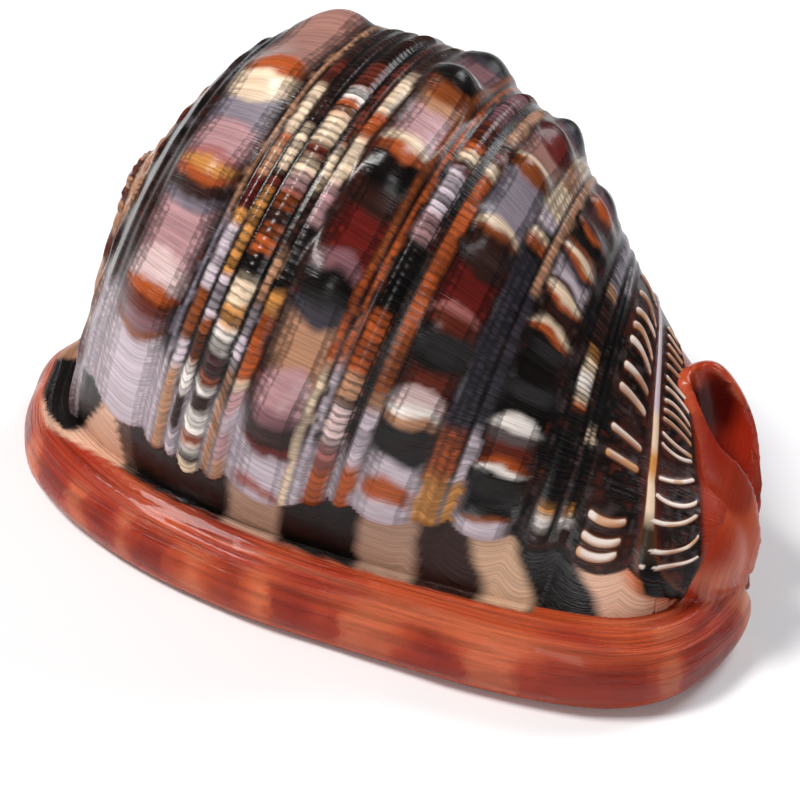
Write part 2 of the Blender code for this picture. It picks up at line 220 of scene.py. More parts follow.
# Marks along each spiral band, from the top of the whorl down to the lip: angles and colour
BANDS = (
    (31.6, 42.6, (
        (84, 76, "rose_tan"), (76, 70, "orange"), (70, 63, "cream"), (63, 57, "lilac_grey"),
        # Gold at 46 to 43 is the knob's orange crest with a painted highlight mixed in
        (56, 49, "pink"), (48, 46.3, "rose"), (46, 43, "gold"), (43, 40.7, "orange"),
        (40.7, 37, "brown"), (36.7, 34.5, "grey"), (34.5, 25.6, "pink"), (24.8, 19.3, "pale_pink"),
        (19.3, 16, "orange"), (16, 11.6, "red_brown"), (11.6, 7.7, "mauve"), (7.7, 5.7, "amber"),
        (5, -17, "lilac_white"))),
    (44.0, 44.9, ((98, 40, "tan"), (36, 10, "lilac_grey"), (8, -15, "lilac_white"))),
    (45.6, 47.6, (
        (98, 82, "brown"), (81, 73, "red_brown"), (72, 58, "cream"), (57.5, 56.5, "orange"),
        (55.5, 49, "tan"), (48, 40, "deep_red"), (40, 37, "gold"), (36.5, 24, "lilac_white"),
        (24, 12, "amber"), (11.5, 6, "lilac_white"), (5, -15, "tan"))),
    (48.2, 50.2, (
        (98, 62, "brown"), (61, 52, "cream"), (51, 46, "red_brown"), (45, 28, "gold"),
        (28, 18.5, "lilac_white"), (18.5, 9, "amber"), (8.5, 3, "white"), (2, -6, "brown"),
        (-7, -14.5, "lilac_white"))),
    (51.0, 54.8, (
        (98, 86, "brown"), (83, 74, "red_brown"), (73.5, 70.6, "white"), (70, 67.5, "orange"),
        (65, 59.5, "cream"), (58.5, 55, "red_brown"), (53.5, 52, "cream"), (50, 47, "pink"),
        (47, 44.5, "orange"), (43.5, 39.6, "brown"), (39, 34, "orange"), (34, 29.5, "black"),
        (28.7, 24, "cream"), (24, 20, "gold"), (19, 14.7, "white"), (14.3, 8.4, "mauve_dark"),
        (8, 7, "orange"), (7, 5, "white"), (5, 0.7, "brown"), (0.3, -4.8, "white"),
        (-5, -7.5, "orange"), (-8, -10, "white"), (-11, -12, "brown"), (-12.5, -16, "cream"))),
    (55.5, 57.0, (
        (98, 60, "red_brown"), (58, 50, "cream"), (48, 36, "brown"), (35, 25, "tan"),
        (24, 12, "lilac_white"), (11, -14, "tan"))),
    (57.4, 59.6, (
        (98, 86, "brown"), (81, 72, "cream"), (71, 64, "orange"), (63, 53, "cream"),
        (52, 44, "pink"), (43, 30, "black"), (29.5, 24, "gold"), (24, 10.8, "orange"),
        (10, 8.5, "cream"), (8, 2.5, "pink"), (1.8, 0, "lilac_white"), (-1, -7, "pink"),
        (-8, -14, "tan"))),
    (61.4, 70.4, (
        # White at 94.2 to 93 is a painted highlight, and mauve at 42 to 38.5 a painted glint
        (107, 95, "mauve"), (94.2, 93, "white"), (93, 85.5, "black"), (85.5, 81, "amber"),
        (81, 78.5, "tan"), (78, 70, "pink"), (68.8, 66.4, "cream"), (66, 62.5, "orange"),
        (62.5, 55.5, "black"), (55, 50.5, "brown"), (50, 42, "deep_red"), (42, 38.5, "mauve"),
        (37.6, 31.4, "black"), (30.6, 26.7, "slate"), (26.3, 17.8, "tan"), (17.8, 10.8, "pink"),
        (10, 7.5, "mauve"), (7, 3, "brown"), (3, 1, "black"), (1, -1.7, "deep_red"),
        (-1.7, -8, "lilac_white"), (-8.2, -10.4, "rose"), (-10.6, -13.7, "lilac_white"))),
    (69.5, 70.7, ((98, 45, "amber"), (40, 22, "orange"), (20, -10, "cream"))),
    (71.4, 72.2, ((98, 24, "orange"), (20, -9, "lilac_white"))),
    (73.0, 76.1, (
        (97.6, 87.5, "mauve"), (87.5, 79.3, "red_brown"), (79, 76, "orange"), (75.5, 72, "cream"),
        (71.5, 69.6, "deep_red"), (68.4, 58, "lilac_white"), (57, 52.5, "pink"), (50, 35, "black"),
        (34.6, 21.7, "orange"), (21.7, 15.5, "tan"), (15.5, 6.5, "pale_pink"), (5, 1.5, "rose"),
        (0.7, -8, "orange"))),
    (77.6, 79.9, (
        (94, 87, "tan"), (85, 83, "brown"), (82, 77, "red_brown"), (76.5, 73.5, "cream"),
        (73, 34, "orange"), (33, 20, "amber"), (19, 17, "tan"), (16, 4.6, "lilac_white"),
        (3, -6.3, "orange"))),
    (80.7, 88.1, (
        (98.8, 96, "deep_red"), (96, 87.5, "rose_tan"), (86.4, 84, "cream"), (84, 79, "amber"),
        (78.8, 66.5, "lilac_grey"), (65.9, 63.2, "cream"), (63, 60.8, "amber"), (60.7, 51.7, "brown"),
        # Rose at 43.6 to 42.4 is a painted glint
        (51.5, 44, "deep_red"), (43.6, 42.4, "rose"), (41.6, 37, "red_brown"), (37, 29, "black"),
        (28.3, 25, "red_brown"), (24.8, 21.3, "pale_pink"), (21, 19.4, "white"), (19.4, 16.7, "tan"),
        (16.7, 7.3, "black"), (7, 3.4, "lilac_white"), (3.4, -0.8, "orange"), (-1, -7.5, "lilac_white"))),
    (88.7, 92.0, (
        (98, 92, "tan"), (91, 80, "cream"), (79, 75, "lilac_white"), (74.6, 74, "black"),
        (73.6, 72, "cream"), (71, 68, "orange"), (67.5, 66, "black"), (65, 20, "slate"),
        (18, 14, "orange"), (11, 8, "orange"), (6, -5, "gold"))),
    (92.4, 94.0, ((98, 60, "tan"), (58, 22, "slate"), (20, 5, "lilac_white"), (4, -5, "gold"))),
    (94.5, 101.0, (
        (102.2, 99.6, "orange"), (99.6, 89, "mauve_dark"), (88.6, 87.4, "orange"), (87, 83, "black"),
        (83, 78.5, "amber"), (78, 75, "cream"), (74.8, 73.5, "orange"), (73.3, 71.2, "slate"),
        (70.8, 68.4, "lilac_white"), (68.2, 66, "mauve_dark"), (65.7, 62.6, "cream"),
        (62.4, 61, "orange"), (61, 56.4, "brown"), (56.2, 54, "cream"), (54, 51, "orange"),
        (51, 28.7, "black"), (28.3, 23.3, "white"), (23, 19, "grey_brown"), (18.8, 15.7, "red_brown"),
        (15.5, 14, "orange"), (13.8, 12.4, "white"), (12, 0.7, "black"), (0.5, -0.6, "amber"),
        (-0.8, -4.7, "lilac_white"))),
    (104.0, 106.0, (
        (98, 85, "lilac_grey"), (84, 81, "tan"), (79, 60, "brown"), (58.7, 56, "gold"),
        (54.8, 51.7, "cream"), (50, 46, "white"), (43.5, 41.5, "cream"), (38.5, 37.5, "orange"),
        (36, 8, "black"), (6.5, 5, "gold"), (4, 2.7, "white"), (1, -3, "brown"))),
    (107.2, 108.4, (
        (95, 91.5, "lilac_white"), (88, 36, "black"), (32.6, 29.5, "cream"), (28, 8, "black"),
        (6.5, 5, "gold"), (4, 2.7, "white"), (1, -3, "brown"))),
)
# How a row of knobs is coloured beyond its own marks: degrees from each crown, for knobs 27 apart
KNOB_MARKS = (
    (13.5, 9.5, "pink"), (9, 6, "cream"), (5.5, 2, "orange"), (1.5, -4.5, "black"), (-5.5, -8, "slate"),
    (-9, -13.5, "mauve"),
)
MARKED_FROM = 106.0
# Wide patches on the smooth back of the lip: places and colour, from the spire end to the canal
LIP_PATCHES = (
    (9, 24, "lip_orange"), (24.5, 27.5, "black"), (29, 36, "pale_tan"), (40.5, 59.8, "black"),
    (60.8, 69, "pale_tan"), (70, 82, "black"), (83, 90, "pale_tan"), (91, 98.5, "brown"),
    (99.8, 105.5, "sand"), (106.5, 114.3, "black"), (115.4, 121, "peach_white"), (123, 127, "lip_peach"),
)
# Patches of the spire end, in millimetres around the lip's edge: where each starts, how far that moves for
# each millimetre inwards and upwards, and colour
END_PATCHES = (
    (1.5, 0.3, 0, "tan"), (13.0, 0.6, 0, "black"), (26.5, 6.1, 0.89, "peach_white"), (60, 0.3, 0, "black"),
)
END_REACH = (-42.0, -36.0)
END_HEIGHT = 13.6
END_SOFTNESS = 1.1
PATCH_SLANT = ((70, 90, 100, 122), (-0.12, -0.12, -0.4, -0.6))
# Paler gaps between the red blotches along the rim: millimetres around the lip's edge, and half width
RIM_GAPS = (
    (22, 4), (41, 3), (57.9, 3.5), (69.6, 3), (85.4, 4), (99.3, 2.5), (118.4, 6.5), (142.8, 5),
    (174.8, 2.8), (199.5, 4), (226, 4), (258, 5), (290, 4), (322, 5), (352, 4), (380, 4),
)
# How the edges of the whorl's marks waver: size, lumps for each unit of place and turn, and seed
PLACE_WAVES = ((0.3, 0.6, 0.3, 21), (0.12, 1, 1.1, 25))
TURN_WAVES = ((0.9, 0.3, 0.16, 22), (0.45, 0.9, 0.5, 26))
# Where a band's colour starts to fade, as a share of its half width, for knobs and cords, and its end
BAND_FADES = (0.72, 0.8)
BAND_END = 1.25
# Narrow bands run back down their marks above this turn, at this share of the pace
TOP_OF_MARKS = 98
MARKS_SLOWER = 0.9
NARROWEST_KNOB_BAND = 5
KNOB_MARKS_APART = 27
# Darker beside the ridge: how much, and between which distances
RIDGE_BESIDE = (0.8, 1.0, 2.2)
# Depths below the skin between which the whorl's inside starts
INSIDE_DEPTH = (2.0, 2.6)
# Bare back of the lip at the spire end: X that it ends at, and distance inwards and share of the
# crease's height at which it starts, each with what it is less by at the spire end
SPIRE_END = (-66, -38)
BARE_INWARD = (7.4, 8.0, 4.4)
BARE_HEIGHT = (0.8, 0.95, 0.35)
BARE_BEHIND = (40, -4)
# Inside of the canal: share of its half width, height and facing at which it starts, and where painted
# shade darkens it
CANAL_INSIDE = (0.8, 1.1)
CANAL_FROM = (15, 19)
CANAL_FACING = (-0.25, 0.55)
CANAL_SHADE_ABOVE = (30, 37)
CANAL_SHADE_BEFORE = (57.0, 60.5)
# Pale streaks that fan out under the canal's edge: X and Z of their middle, and where they show
FAN_MIDDLE = (52, 30)
FAN_BEYOND = (56, 60)
FAN_BELOW = (19, 24)
FAN_ABOVE = (12, 14)
# Where the canal's orange covers the sculpture: turns, and the place that it starts at
BODY_END_TURNS = (-40, -20, -7, 3, 11, 22, 41, 57, 76, 93, 115, 215)
BODY_END_PLACES = (123, 126.2, 129.3, 128.3, 127.2, 126.2, 125.4, 125, 124.2, 123.5, 122.5, 121)

# Shield and lip seen from above: X, Y and the height of the crease where they meet the whorl
OUTLINE = np.array((
    (-75, -6, 12), (-72.5, -23.5, 13), (-62.5, -41, 14), (-40, -52, 14.5), (-14, -55.4, 15),
    (14, -53, 15), (42, -48.3, 15), (61, -40, 15), (70.5, -26, 14.5), (72.6, -9, 13.5), (67.5, 7, 12),
    (59, 23, 10), (37, 40, 9), (5, 51, 8.5), (-35, 52, 9), (-64, 33, 10),
), float)
RIM_WIDTH = 8.5
RIM_SECTION = np.array((
    (1.3, 0.97), (0.97, 1.0), (0.62, 0.96), (0.3, 0.82), (0.08, 0.6), (0, 0.36), (0.09, 0.13), (0.3, 0),
))
RIM_RINGS = 26
FLAT_BAND = 6.0
FACE_RINGS = 12
FACE_CENTRE = np.array((0.0, -6.0))
HOLLOW_RISE = 2.6
HOLLOW_REACH = 22.0
SHIELD_AROUND = 220

# Siphonal canal: X, Y, Z of its middle, half width, half depth, and the way that its slit faces
CANAL = np.array((
    (44, -13, 9, 10.0, 9.0), (58, -8, 10, 11.0, 9.0), (62, -3.5, 17, 11.5, 9.0),
    (59.5, -1, 27.5, 11.0, 8.0), (55, 1, 37, 10.0, 7.5), (49, 2.5, 46, 9.0, 7.0),
), float)
CANAL_SLIT = np.array((
    (0, 0, -1), (0.35, 0, -0.95), (0.95, 0.2, -0.3), (0.97, 0.1, 0.15), (0.8, -0.35, 0.45),
    (0.55, -0.6, 0.6),
), float)
CANAL_WALL = 4.0
CANAL_WALL_LOWER = 2.6
CANAL_NARROWS = (26.0, 36.0)
CHANNEL_SHIFT = 8.5
CHANNEL_DEEPER = 4.0
CHANNEL_PAST = 5.0
# Cheek between the canal, the whorl and the rim: its middle and its three half sizes
CHEEK = np.array(((56.0, -11.0, 18.0), (13.5, 13.5, 14.0)))
CHEEK_BLEND = 1.5
CHEEK_END = (141.5, 145.5)

# Aperture: X and Y of its middle line and its half width, from the spire end to the canal
APERTURE = np.array((
    (-54, -18.5, 5), (-42, -20.5, 5.5), (-18, -23, 6.5), (12, -22, 6.0), (37, -16.5, 5.5), (62, -7, 5.5),
), float)
APERTURE_LENGTH = 120.0
ROUNDED_END = 0.07
LEVEL_HEIGHTS = (-3, 1.0, 3.6, 10, 14, 26)
LEVEL_WIDER = (3.2, 2.6, 0.3, 0, 0.6, 0.6)
LEVEL_TOOTHED = (0, 0, 0.8, 1, 0, 0)
LOW_END = (0.72, 0.9, 0.5)
TOOTH_PITCH = 4.6
LIP_TOOTH = 2.0
FOLD_HEIGHT = 1.3

WALL = 6.0
CHAMBER_REACH = (25.0, 116.0)
CHAMBER_FLOOR = 17.0

VOXEL = 0.8
ROUNDING_STEPS = 5

# Polish of each piece: depth of its bump in millimetres, lowest and highest roughness, clear coat
WHORL_POLISH = (0.14, (0.14, 0.3), 0.08)
LIP_POLISH = (0.7, (0.22, 0.4), 0.12)
COAT_ROUGHNESS = 0.1
SPECULAR_LEVEL = 0.18
POLISH_SCALE = 90.0
# How the shading stretches a number: from low and high, to low and high
GROOVE_WAVER = (0.3, 0.7, -0.12, 0.2)
GROOVE_SHADE = (0.05, 0.62, 0.16, 1.0)
BEAD_WAVER = (0.3, 0.7, -0.1, 0.1)
BEAD_SHADE = (0.0, 0.34, 0.42, 1.06)
BEAD_VARIETY = (0.0, 0.7, 0.32, 1.12)
SMOOTH_ROWS = (4.65, 4.8, 0.0, 1.0)
LINE_SHADOW = (1.0, 1.6, 0.5, 0.0)
LINE_EDGE = (0.7, 1.1, 1.0, 0.0)

# Studio: each light with its place, size, power and colour, and the point that they face
LIGHTS = (
    ("key_light", (-0.55, -0.35, 0.95), 0.3, 13.0, (1.0, 0.98, 0.96)),
    ("front_light", (0.45, -0.9, 0.45), 0.35, 3.0, (1.0, 1.0, 1.0)),
    ("back_light", (0.3, 0.7, 0.8), 0.4, 6.0, (0.95, 0.97, 1.0)),
)
LIT_POINT = (0, 0, 0.04)
SKY_COLOUR = (0.95, 0.97, 1.0, 1)
SKY_STRENGTH = 0.16
FLOOR_ROUGHNESS = 0.85


def eased(place, knots, values):
    """Smooth curve through the table (knots, values) that never overshoots it."""
    knots, values = np.array(knots, float), np.array(values, float)
    step = np.diff(knots)
    rise = np.diff(values) / step
    slope = np.zeros(len(knots))
    for i in range(1, len(knots) - 1):
        if rise[i - 1] * rise[i] > 0:
            near, far = 2 * step[i] + step[i - 1], step[i] + 2 * step[i - 1]
            slope[i] = (near + far) / (near / rise[i - 1] + far / rise[i])
    slope[0], slope[-1] = rise[0], rise[-1]
    i = np.clip(np.searchsorted(knots, place) - 1, 0, len(step) - 1)
    t = np.clip((place - knots[i]) / step[i], 0, 1)
    start = (1 + 2 * t) * (1 - t) ** 2 * values[i] + t * (1 - t) ** 2 * step[i] * slope[i]
    end = t * t * (3 - 2 * t) * values[i + 1] - t * t * (1 - t) * step[i] * slope[i + 1]
    return start + end


def curve_through(points, share, closed):
    """Points at these shares (0 to 1) of a smooth curve through the rows of points."""
    count = len(points)
    place = (np.asarray(share, float) % 1) * count if closed else np.asarray(share, float) * (count - 1)
    i = np.floor(place).astype(int)
    if not closed:
        i = np.clip(i, 0, count - 2)
    t = (place - i)[..., None]
    near = [(i + k) % count if closed else np.clip(i + k, 0, count - 1) for k in (-1, 0, 1, 2)]
    a, b, c, d = (points[k] for k in near)
    square = 2 * a - 5 * b + 4 * c - d
    cube = 3 * b - a - 3 * c + d
    return 0.5 * (2 * b + (c - a) * t + square * t**2 + cube * t**3)


def plan_normal(points, share, closed):
    """Unit vectors to the right of a curve in plan."""
    low, high = share - 0.002, share + 0.002
    if not closed:
        low, high = np.clip(low, 0, 1), np.clip(high, 0, 1)
    way = curve_through(points, high, closed) - curve_through(points, low, closed)
    return unit(np.stack([way[..., 1], -way[..., 0]], -1))


def unit(vectors):
    return vectors / np.linalg.norm(vectors, axis=-1, keepdims=True)


def smooth_step(value, low, high):
    """0 up to low, 1 from high on, and a smooth rise between them."""
    t = np.clip((value - low) / (high - low), 0, 1)
    return t * t * (3 - 2 * t)


def fading(value, low, high):
    """1 up to low, 0 from high on, and a smooth fall between them."""
    return 1 - smooth_step(value, low, high)


def soft_noise(x, y, seed):
    """Smooth noise between -1 and 1, one lump for each unit of x and y."""
    table = np.random.default_rng(seed).uniform(-1, 1, (64, 64))
    column, row = np.floor(x).astype(int), np.floor(y).astype(int)
    across, up = x - column, y - row
    across, up = across * across * (3 - 2 * across), up * up * (3 - 2 * up)
    corner = [[table[(column + i) % 64, (row + j) % 64] for j in (0, 1)] for i in (0, 1)]
    left = corner[0][0] * (1 - up) + corner[0][1] * up
    right = corner[1][0] * (1 - up) + corner[1][1] * up
    return left * (1 - across) + right * across


def seen_colour(name):
    """A palette colour as the renderer counts it."""
    colour = np.array(PALETTE[name])
    return np.where(colour <= 0.04045, colour / 12.92, ((colour + 0.055) / 1.055) ** 2.4)


def station_of(row_place, turn):
    """Station along the axis of a spiral place, eased before the canal end."""
    station = row_place + eased(row_place, SPIRAL_PLACES, SPIRAL_DRIFT) * (90 - turn) / 180
    start, span = SOFT_END
    over = np.maximum(station - start, 0)
    return np.where(over > 0, start + span * (1 - np.exp(-over / span)), station)


def row_place_of(station, turn):
    """The spiral place of a station: station_of the other way round."""
    start, span = SOFT_END
    over = np.clip((station - start) / span, 0, 0.995)
    plain = np.where(over > 0, start - span * np.log(1 - over), station)
    place = plain.copy()
    for _ in range(12):
        drift = eased(np.clip(place, 9, 147), SPIRAL_PLACES, SPIRAL_DRIFT)
        place = 0.4 * place + 0.6 * (plain - drift * (90 - turn) / 180)
    return place


def on_axis(station):
    return AXIS_START + np.asarray(station)[..., None] * ALONG


def outward(across, up):
    return across[..., None] * ACROSS + up[..., None] * UPWARD


def around_axis(points):
    """Station, angle and distance from the axis of points in millimetres."""
    out = points - AXIS_START
    up, back = out @ UPWARD, out @ ACROSS
    turn = (np.degrees(np.arctan2(up, -back)) + 90) % 360 - 90
    return out @ ALONG, turn, np.hypot(up, back)


def side_share(turn):
    """Sideways width of a section at this angle, as a share of its height."""
    return SIDE_WIDTH - LIP_SIDE_TRIM * np.cos(np.radians(turn))


def skin_places(points):
    """Spiral place and turn of points on the whorl."""
    station, seen_turn, _ = around_axis(points)
    seen = np.radians(seen_turn)
    turn = seen_turn
    for _ in range(6):
        flat = np.degrees(np.arctan2(np.sin(seen), np.cos(seen) / side_share(turn)))
        turn = (flat + 90) % 360 - 90
    return row_place_of(station, turn), turn


def crease_lines():
    """The crease on the lip side and on the back: rows of station, angle and distance from the axis."""
    share = np.arange(720) / 720
    edge = curve_through(OUTLINE, share, True)
    inside = edge[:, :2] - plan_normal(OUTLINE, share, True) * (RIM_WIDTH + WHORL_TUCK)
    places = around_axis(np.column_stack([inside, edge[:, 2] - WHORL_TUCK]))
    sides = []
    for chosen in (places[1] < 90, places[1] >= 90):
        order = np.argsort(places[0][chosen])
        sides.append([values[chosen][order] for values in places])
    return sides


CREASES = crease_lines()


def plain_radius(station, turn):
    """Distance from the axis to the plain whorl, and its share across and up."""
    radius = eased(station, STATIONS, RADII) * (1 + LIP_SIDE_GROWTH * (90 - turn) / 90)
    angle = np.radians(turn)
    return radius, -np.cos(angle) * side_share(turn), np.sin(angle)


def flare(station, turn):
    """How much the whorl widens at this angle so that it ends on the crease."""
    wider = 0.0
    for side, (stations, turns, distances) in zip((1, -1), CREASES):
        before = (station - STATIONS[0]) / (stations[0] - STATIONS[0])
        after = (STATIONS[-1] - station) / (STATIONS[-1] - stations[-1])
        fade = np.clip(np.minimum(np.maximum(before, 0), np.maximum(after, 0)), 0, 1)
        edge_turn = np.interp(station, stations, turns)
        edge = np.interp(station, stations, distances)
        radius, across, up = plain_radius(station, edge_turn)
        beyond = (turn - edge_turn) * side / FLARE_SPAN
        share = np.clip(1 - beyond, 0, 1) ** FLARE_EASE
        wider = wider + (edge / np.hypot(across, up) - radius) * share * fade * fade * (3 - 2 * fade)
    return wider


def cheek_radius(station, across, up):
    """Distance from the axis to the far side of the cheek, or a low number where it isn't met."""
    middle, sizes = CHEEK
    start = (on_axis(station) - middle) / sizes
    way = outward(across, up) / sizes
    square, half = np.sum(way * way, axis=-1), np.sum(start * way, axis=-1)
    inside = half * half - square * (np.sum(start * start, axis=-1) - 1)
    reach = (np.sqrt(np.maximum(inside, 0)) - half) / square
    return np.where(inside > 0, reach, -20.0) * fading(station, *CHEEK_END)


def full_radius(station, turn):
    """Distance to the whorl's smooth skin with its flare and cheek, and its share across and up."""
    radius, across, up = plain_radius(station, turn)
    radius = radius + flare(station, turn)
    cheek = cheek_radius(station, across, up)
    joined = 0.5 * (radius + cheek + np.sqrt((radius - cheek) ** 2 + CHEEK_BLEND**2))
    near = smooth_step(station, 112, 122) * (cheek > 0)
    return radius + (joined - radius) * near, across, up


def skin_point(station, turn, relief):
    """Point of the whorl's skin, raised by this relief."""
    radius, across, up = full_radius(station, turn)
    return on_axis(station) + (radius + relief)[..., None] * outward(across, up)


def skin_depth(points):
    """How far points lie below the plain skin of the whorl."""
    station, _, distance = around_axis(points)
    _, turn = skin_places(points)
    radius, across, up = full_radius(station, turn)
    return radius * np.hypot(across, up) - distance


def lower_edge(row_place):
    """The turn at which the sculpture ends above the smooth back of the lip."""
    edges = []
    for place, half_width, tip in SCALLOPS:
        edges.append(tip + SCALLOP_RISE * ((row_place - place) / half_width) ** 2)
    lowering = SPIRE_LOWERING * fading(row_place, *SPIRE_LOWERED)
    return np.minimum(np.min(edges, axis=0), HIGHEST_EDGE) - lowering


def growth_turn(row_place, turn):
    """Turn along the growth lines, which hang down in the middle of each scallop near the lip."""
    tips = np.interp(row_place, [row[0] for row in SCALLOPS], [row[2] for row in SCALLOPS])
    rise = np.clip(lower_edge(row_place) - tips, 0, 6)
    return turn - rise * fading(turn, 4, 20)


def knob_wave(turn, first, spacing, sharpness):
    return (0.5 + 0.5 * np.cos(math.tau * (turn - first) / spacing)) ** sharpness


def knob_relief(row_place, turn):
    """Height of the knobs, and how much of the surface is smooth knob rather than corded."""
    raised = np.zeros_like(turn)
    smooth = np.zeros_like(turn)
    for number, (place, half_width, height, first, spacing, sharpness) in enumerate(KNOB_ROWS):
        across = np.clip(np.abs(row_place - place) / half_width, 0, 1)
        index = np.round((turn - first) / spacing)
        change = 1 + 0.18 * np.sin(index * 2.4 + number)
        knob = height * change * np.cos(across * math.pi / 2) * knob_wave(turn, first, spacing, sharpness)
        raised = np.maximum(raised, knob)
        smooth = np.maximum(smooth, 1 - smooth_step(across, 0.5, 0.72))
    return raised, smooth


def groove_count(row_place):
    """Counts the grooves up to this place, with shares between them; and the gap that it lies in."""
    count = np.interp(row_place, GROOVES, range(len(GROOVES)))
    index = np.clip(np.floor(count).astype(int), 0, len(GROOVES) - 2)
    return count, np.diff(GROOVES)[index]


def cord_relief(row_place, turn):
    """Height of the spiral cords with their beads."""
    raised = np.zeros_like(turn)
    beat = turn / BEAD_PITCH + BEAD_SHIFT * np.floor(groove_count(row_place)[0])
    bead = 0.5 - 0.5 * np.cos(math.tau * beat)
    for place, half_width, height, beading in CORDS:
        across = np.clip(np.abs(row_place - place) / half_width, 0, 1)
        lumps = 1 - 0.45 * beading * (1 - bead)
        raised = np.maximum(raised, height * np.cos(across * math.pi / 2) ** 0.8 * lumps)
    return raised


def rib_places(row_place, turn):
    """Counts the ribs down to this turn, with shares between them; their spacing, as a multiple of a
    rib's half thickness; and how far outside the ribs' row the place is."""
    count, spacing, outside = np.zeros_like(turn), np.ones_like(turn), np.full_like(turn, FAR_FROM_RIBS)
    for number, ((low, _, high), thickness, ribs) in enumerate(RIB_ROWS):
        length = high - low + number * np.interp(turn, *RIB_STRETCH)
        share = np.clip((row_place - low) / length, 0, 1)
        over = np.maximum(np.abs(row_place - low - length / 2) - length / 2 + RIB_ENDS, 0)
        near, middle, far = (column[:, None] for column in np.array(ribs).T)
        at = near * (1 - share) * (1 - 2 * share) + middle * 4 * share * (1 - share)
        at = at + far * share * (2 * share - 1)
        at = np.concatenate([at[:1] + BEFORE_FIRST_RIB, at, at[-1:] - AFTER_LAST_RIB])
        between = (at[:-1] - turn) / (at[:-1] - at[1:])
        total = np.sum(np.clip(between, 0, 1), axis=0)
        pair = np.clip(np.floor(total).astype(int), 0, len(at) - 2)
        wide = np.take_along_axis(at[:-1] - at[1:], pair[None], axis=0)[0]
        beyond = np.maximum(0.5 - total, total - (len(ribs) + 0.5))
        over = PAST_RIB_END * over + PAST_OUTER_RIB * np.maximum(beyond, 0)
        nearer = over < outside
        count = np.where(nearer, total + RIB_ROW_STEP * number, count)
        spacing = np.where(nearer, wide / (thickness * np.interp(turn, *RIB_THINNING)), spacing)
        outside = np.minimum(over, outside)
    return count, spacing, outside


def rib_distance(row_place, turn):
    """Distance to the nearest rib, as a share of its half thickness, and which side of it is nearer."""
    count, spacing, outside = rib_places(row_place, turn)
    off = (np.round(count) - count) * spacing
    return np.hypot(off, outside), off


def ridge_offset(row_place, turn):
    """Distance past the middle of the thin ridge, as a share of its half width."""
    return (row_place - ridge_place(turn)) / np.interp(turn, RIDGE_TURNS, RIDGE_WIDTHS)


def ridge_place(turn):
    return np.interp(turn, RIDGE_TURNS, RIDGE_PLACES)


def body_end(turn):
    """The place at which the canal's orange starts to cover the sculpture."""
    return np.interp(turn, BODY_END_TURNS, BODY_END_PLACES)


def spire_coil(row_place, turn):
    """Number of the older whorl at this place of the spire, and the share across it."""
    coil = (row_place - 9) / SPIRE_STEP + turn / 360
    return np.floor(coil), coil - np.floor(coil)


def spire_relief(row_place, turn):
    """Steps of the older whorls on the spire, with low knobs on their shoulders."""
    _, step = spire_coil(row_place, turn)
    profile = np.where(step < SPIRE_RISER, step / SPIRE_RISER, (1 - step) / (1 - SPIRE_RISER))
    knobs = 0.5 + 0.5 * np.cos(math.tau * turn / SPIRE_KNOB_SPACING)
    fade = smooth_step(row_place, *SPIRE_STARTS) * fading(row_place, *SPIRE_ENDS)
    return (SPIRE_HEIGHT * profile + SPIRE_KNOB * knobs * smooth_step(profile, 0.5, 1)) * fade


def whorl_relief(row_place, turn):
    """Height of all the sculpture on the whorl's skin."""
    edge = lower_edge(row_place)
    sculpted = smooth_step(turn, edge - 0.3, edge + 1.6)
    knobs, smooth = knob_relief(row_place, turn)
    cords = cord_relief(row_place, turn) * (1 - CORDS_LOST * smooth)
    ribs = RIB_HEIGHT * np.exp(-RIB_FALL * rib_distance(row_place, turn)[0] ** 2)
    ribs = np.maximum(ribs, RIDGE_HEIGHT * np.exp(-RIDGE_FALL * ridge_offset(row_place, turn) ** 2))
    lines = GROWTH_RELIEF * soft_noise(row_place * 0.15, turn * 0.9, 5) * smooth
    end = body_end(turn)
    covered = fading(row_place, end - 0.5, end + 1.5)
    far = smooth_step(turn, *BACK_END)
    fine = (cords + ribs + lines + SCALLOP_STEP) * sculpted * covered * far
    return knobs * smooth_step(turn, *KNOBS_START) * far + fine + spire_relief(row_place, turn) * far


def sphere_shares(bm, around, rings):
    """A closed ball of rings; returns each vertex's ring number and share around."""
    bmesh.ops.create_uvsphere(bm, u_segments=around, v_segments=rings, radius=1)
    ball = np.array([v.co[:] for v in bm.verts])
    ring = np.round(np.arccos(np.clip(ball[:, 2], -1, 1)) / math.pi * rings)
    share = np.round(np.arctan2(ball[:, 1], ball[:, 0]) / math.tau * around) / around
    return ring, share % 1


def write_points(name, bm, points):
    """Moves the vertices to these millimetre points and makes the object."""
    points = (points + TO_MIDDLE) * METRES
    for vertex, point in zip(bm.verts, points.tolist()):
        vertex.co = point
    bmesh.ops.recalc_face_normals(bm, faces=bm.faces)
    if bm.calc_volume(signed=True) < 0:
        bmesh.ops.reverse_faces(bm, faces=bm.faces)
    mesh = bpy.data.meshes.new(name)
    bm.to_mesh(mesh)
    bm.free()
    mesh.shade_smooth()
    return placed(name, mesh)


def placed(name, data):
    """A new object of the scene with this data."""
    made = bpy.data.objects.new(name, data)
    bpy.context.scene.collection.objects.link(made)
    return made


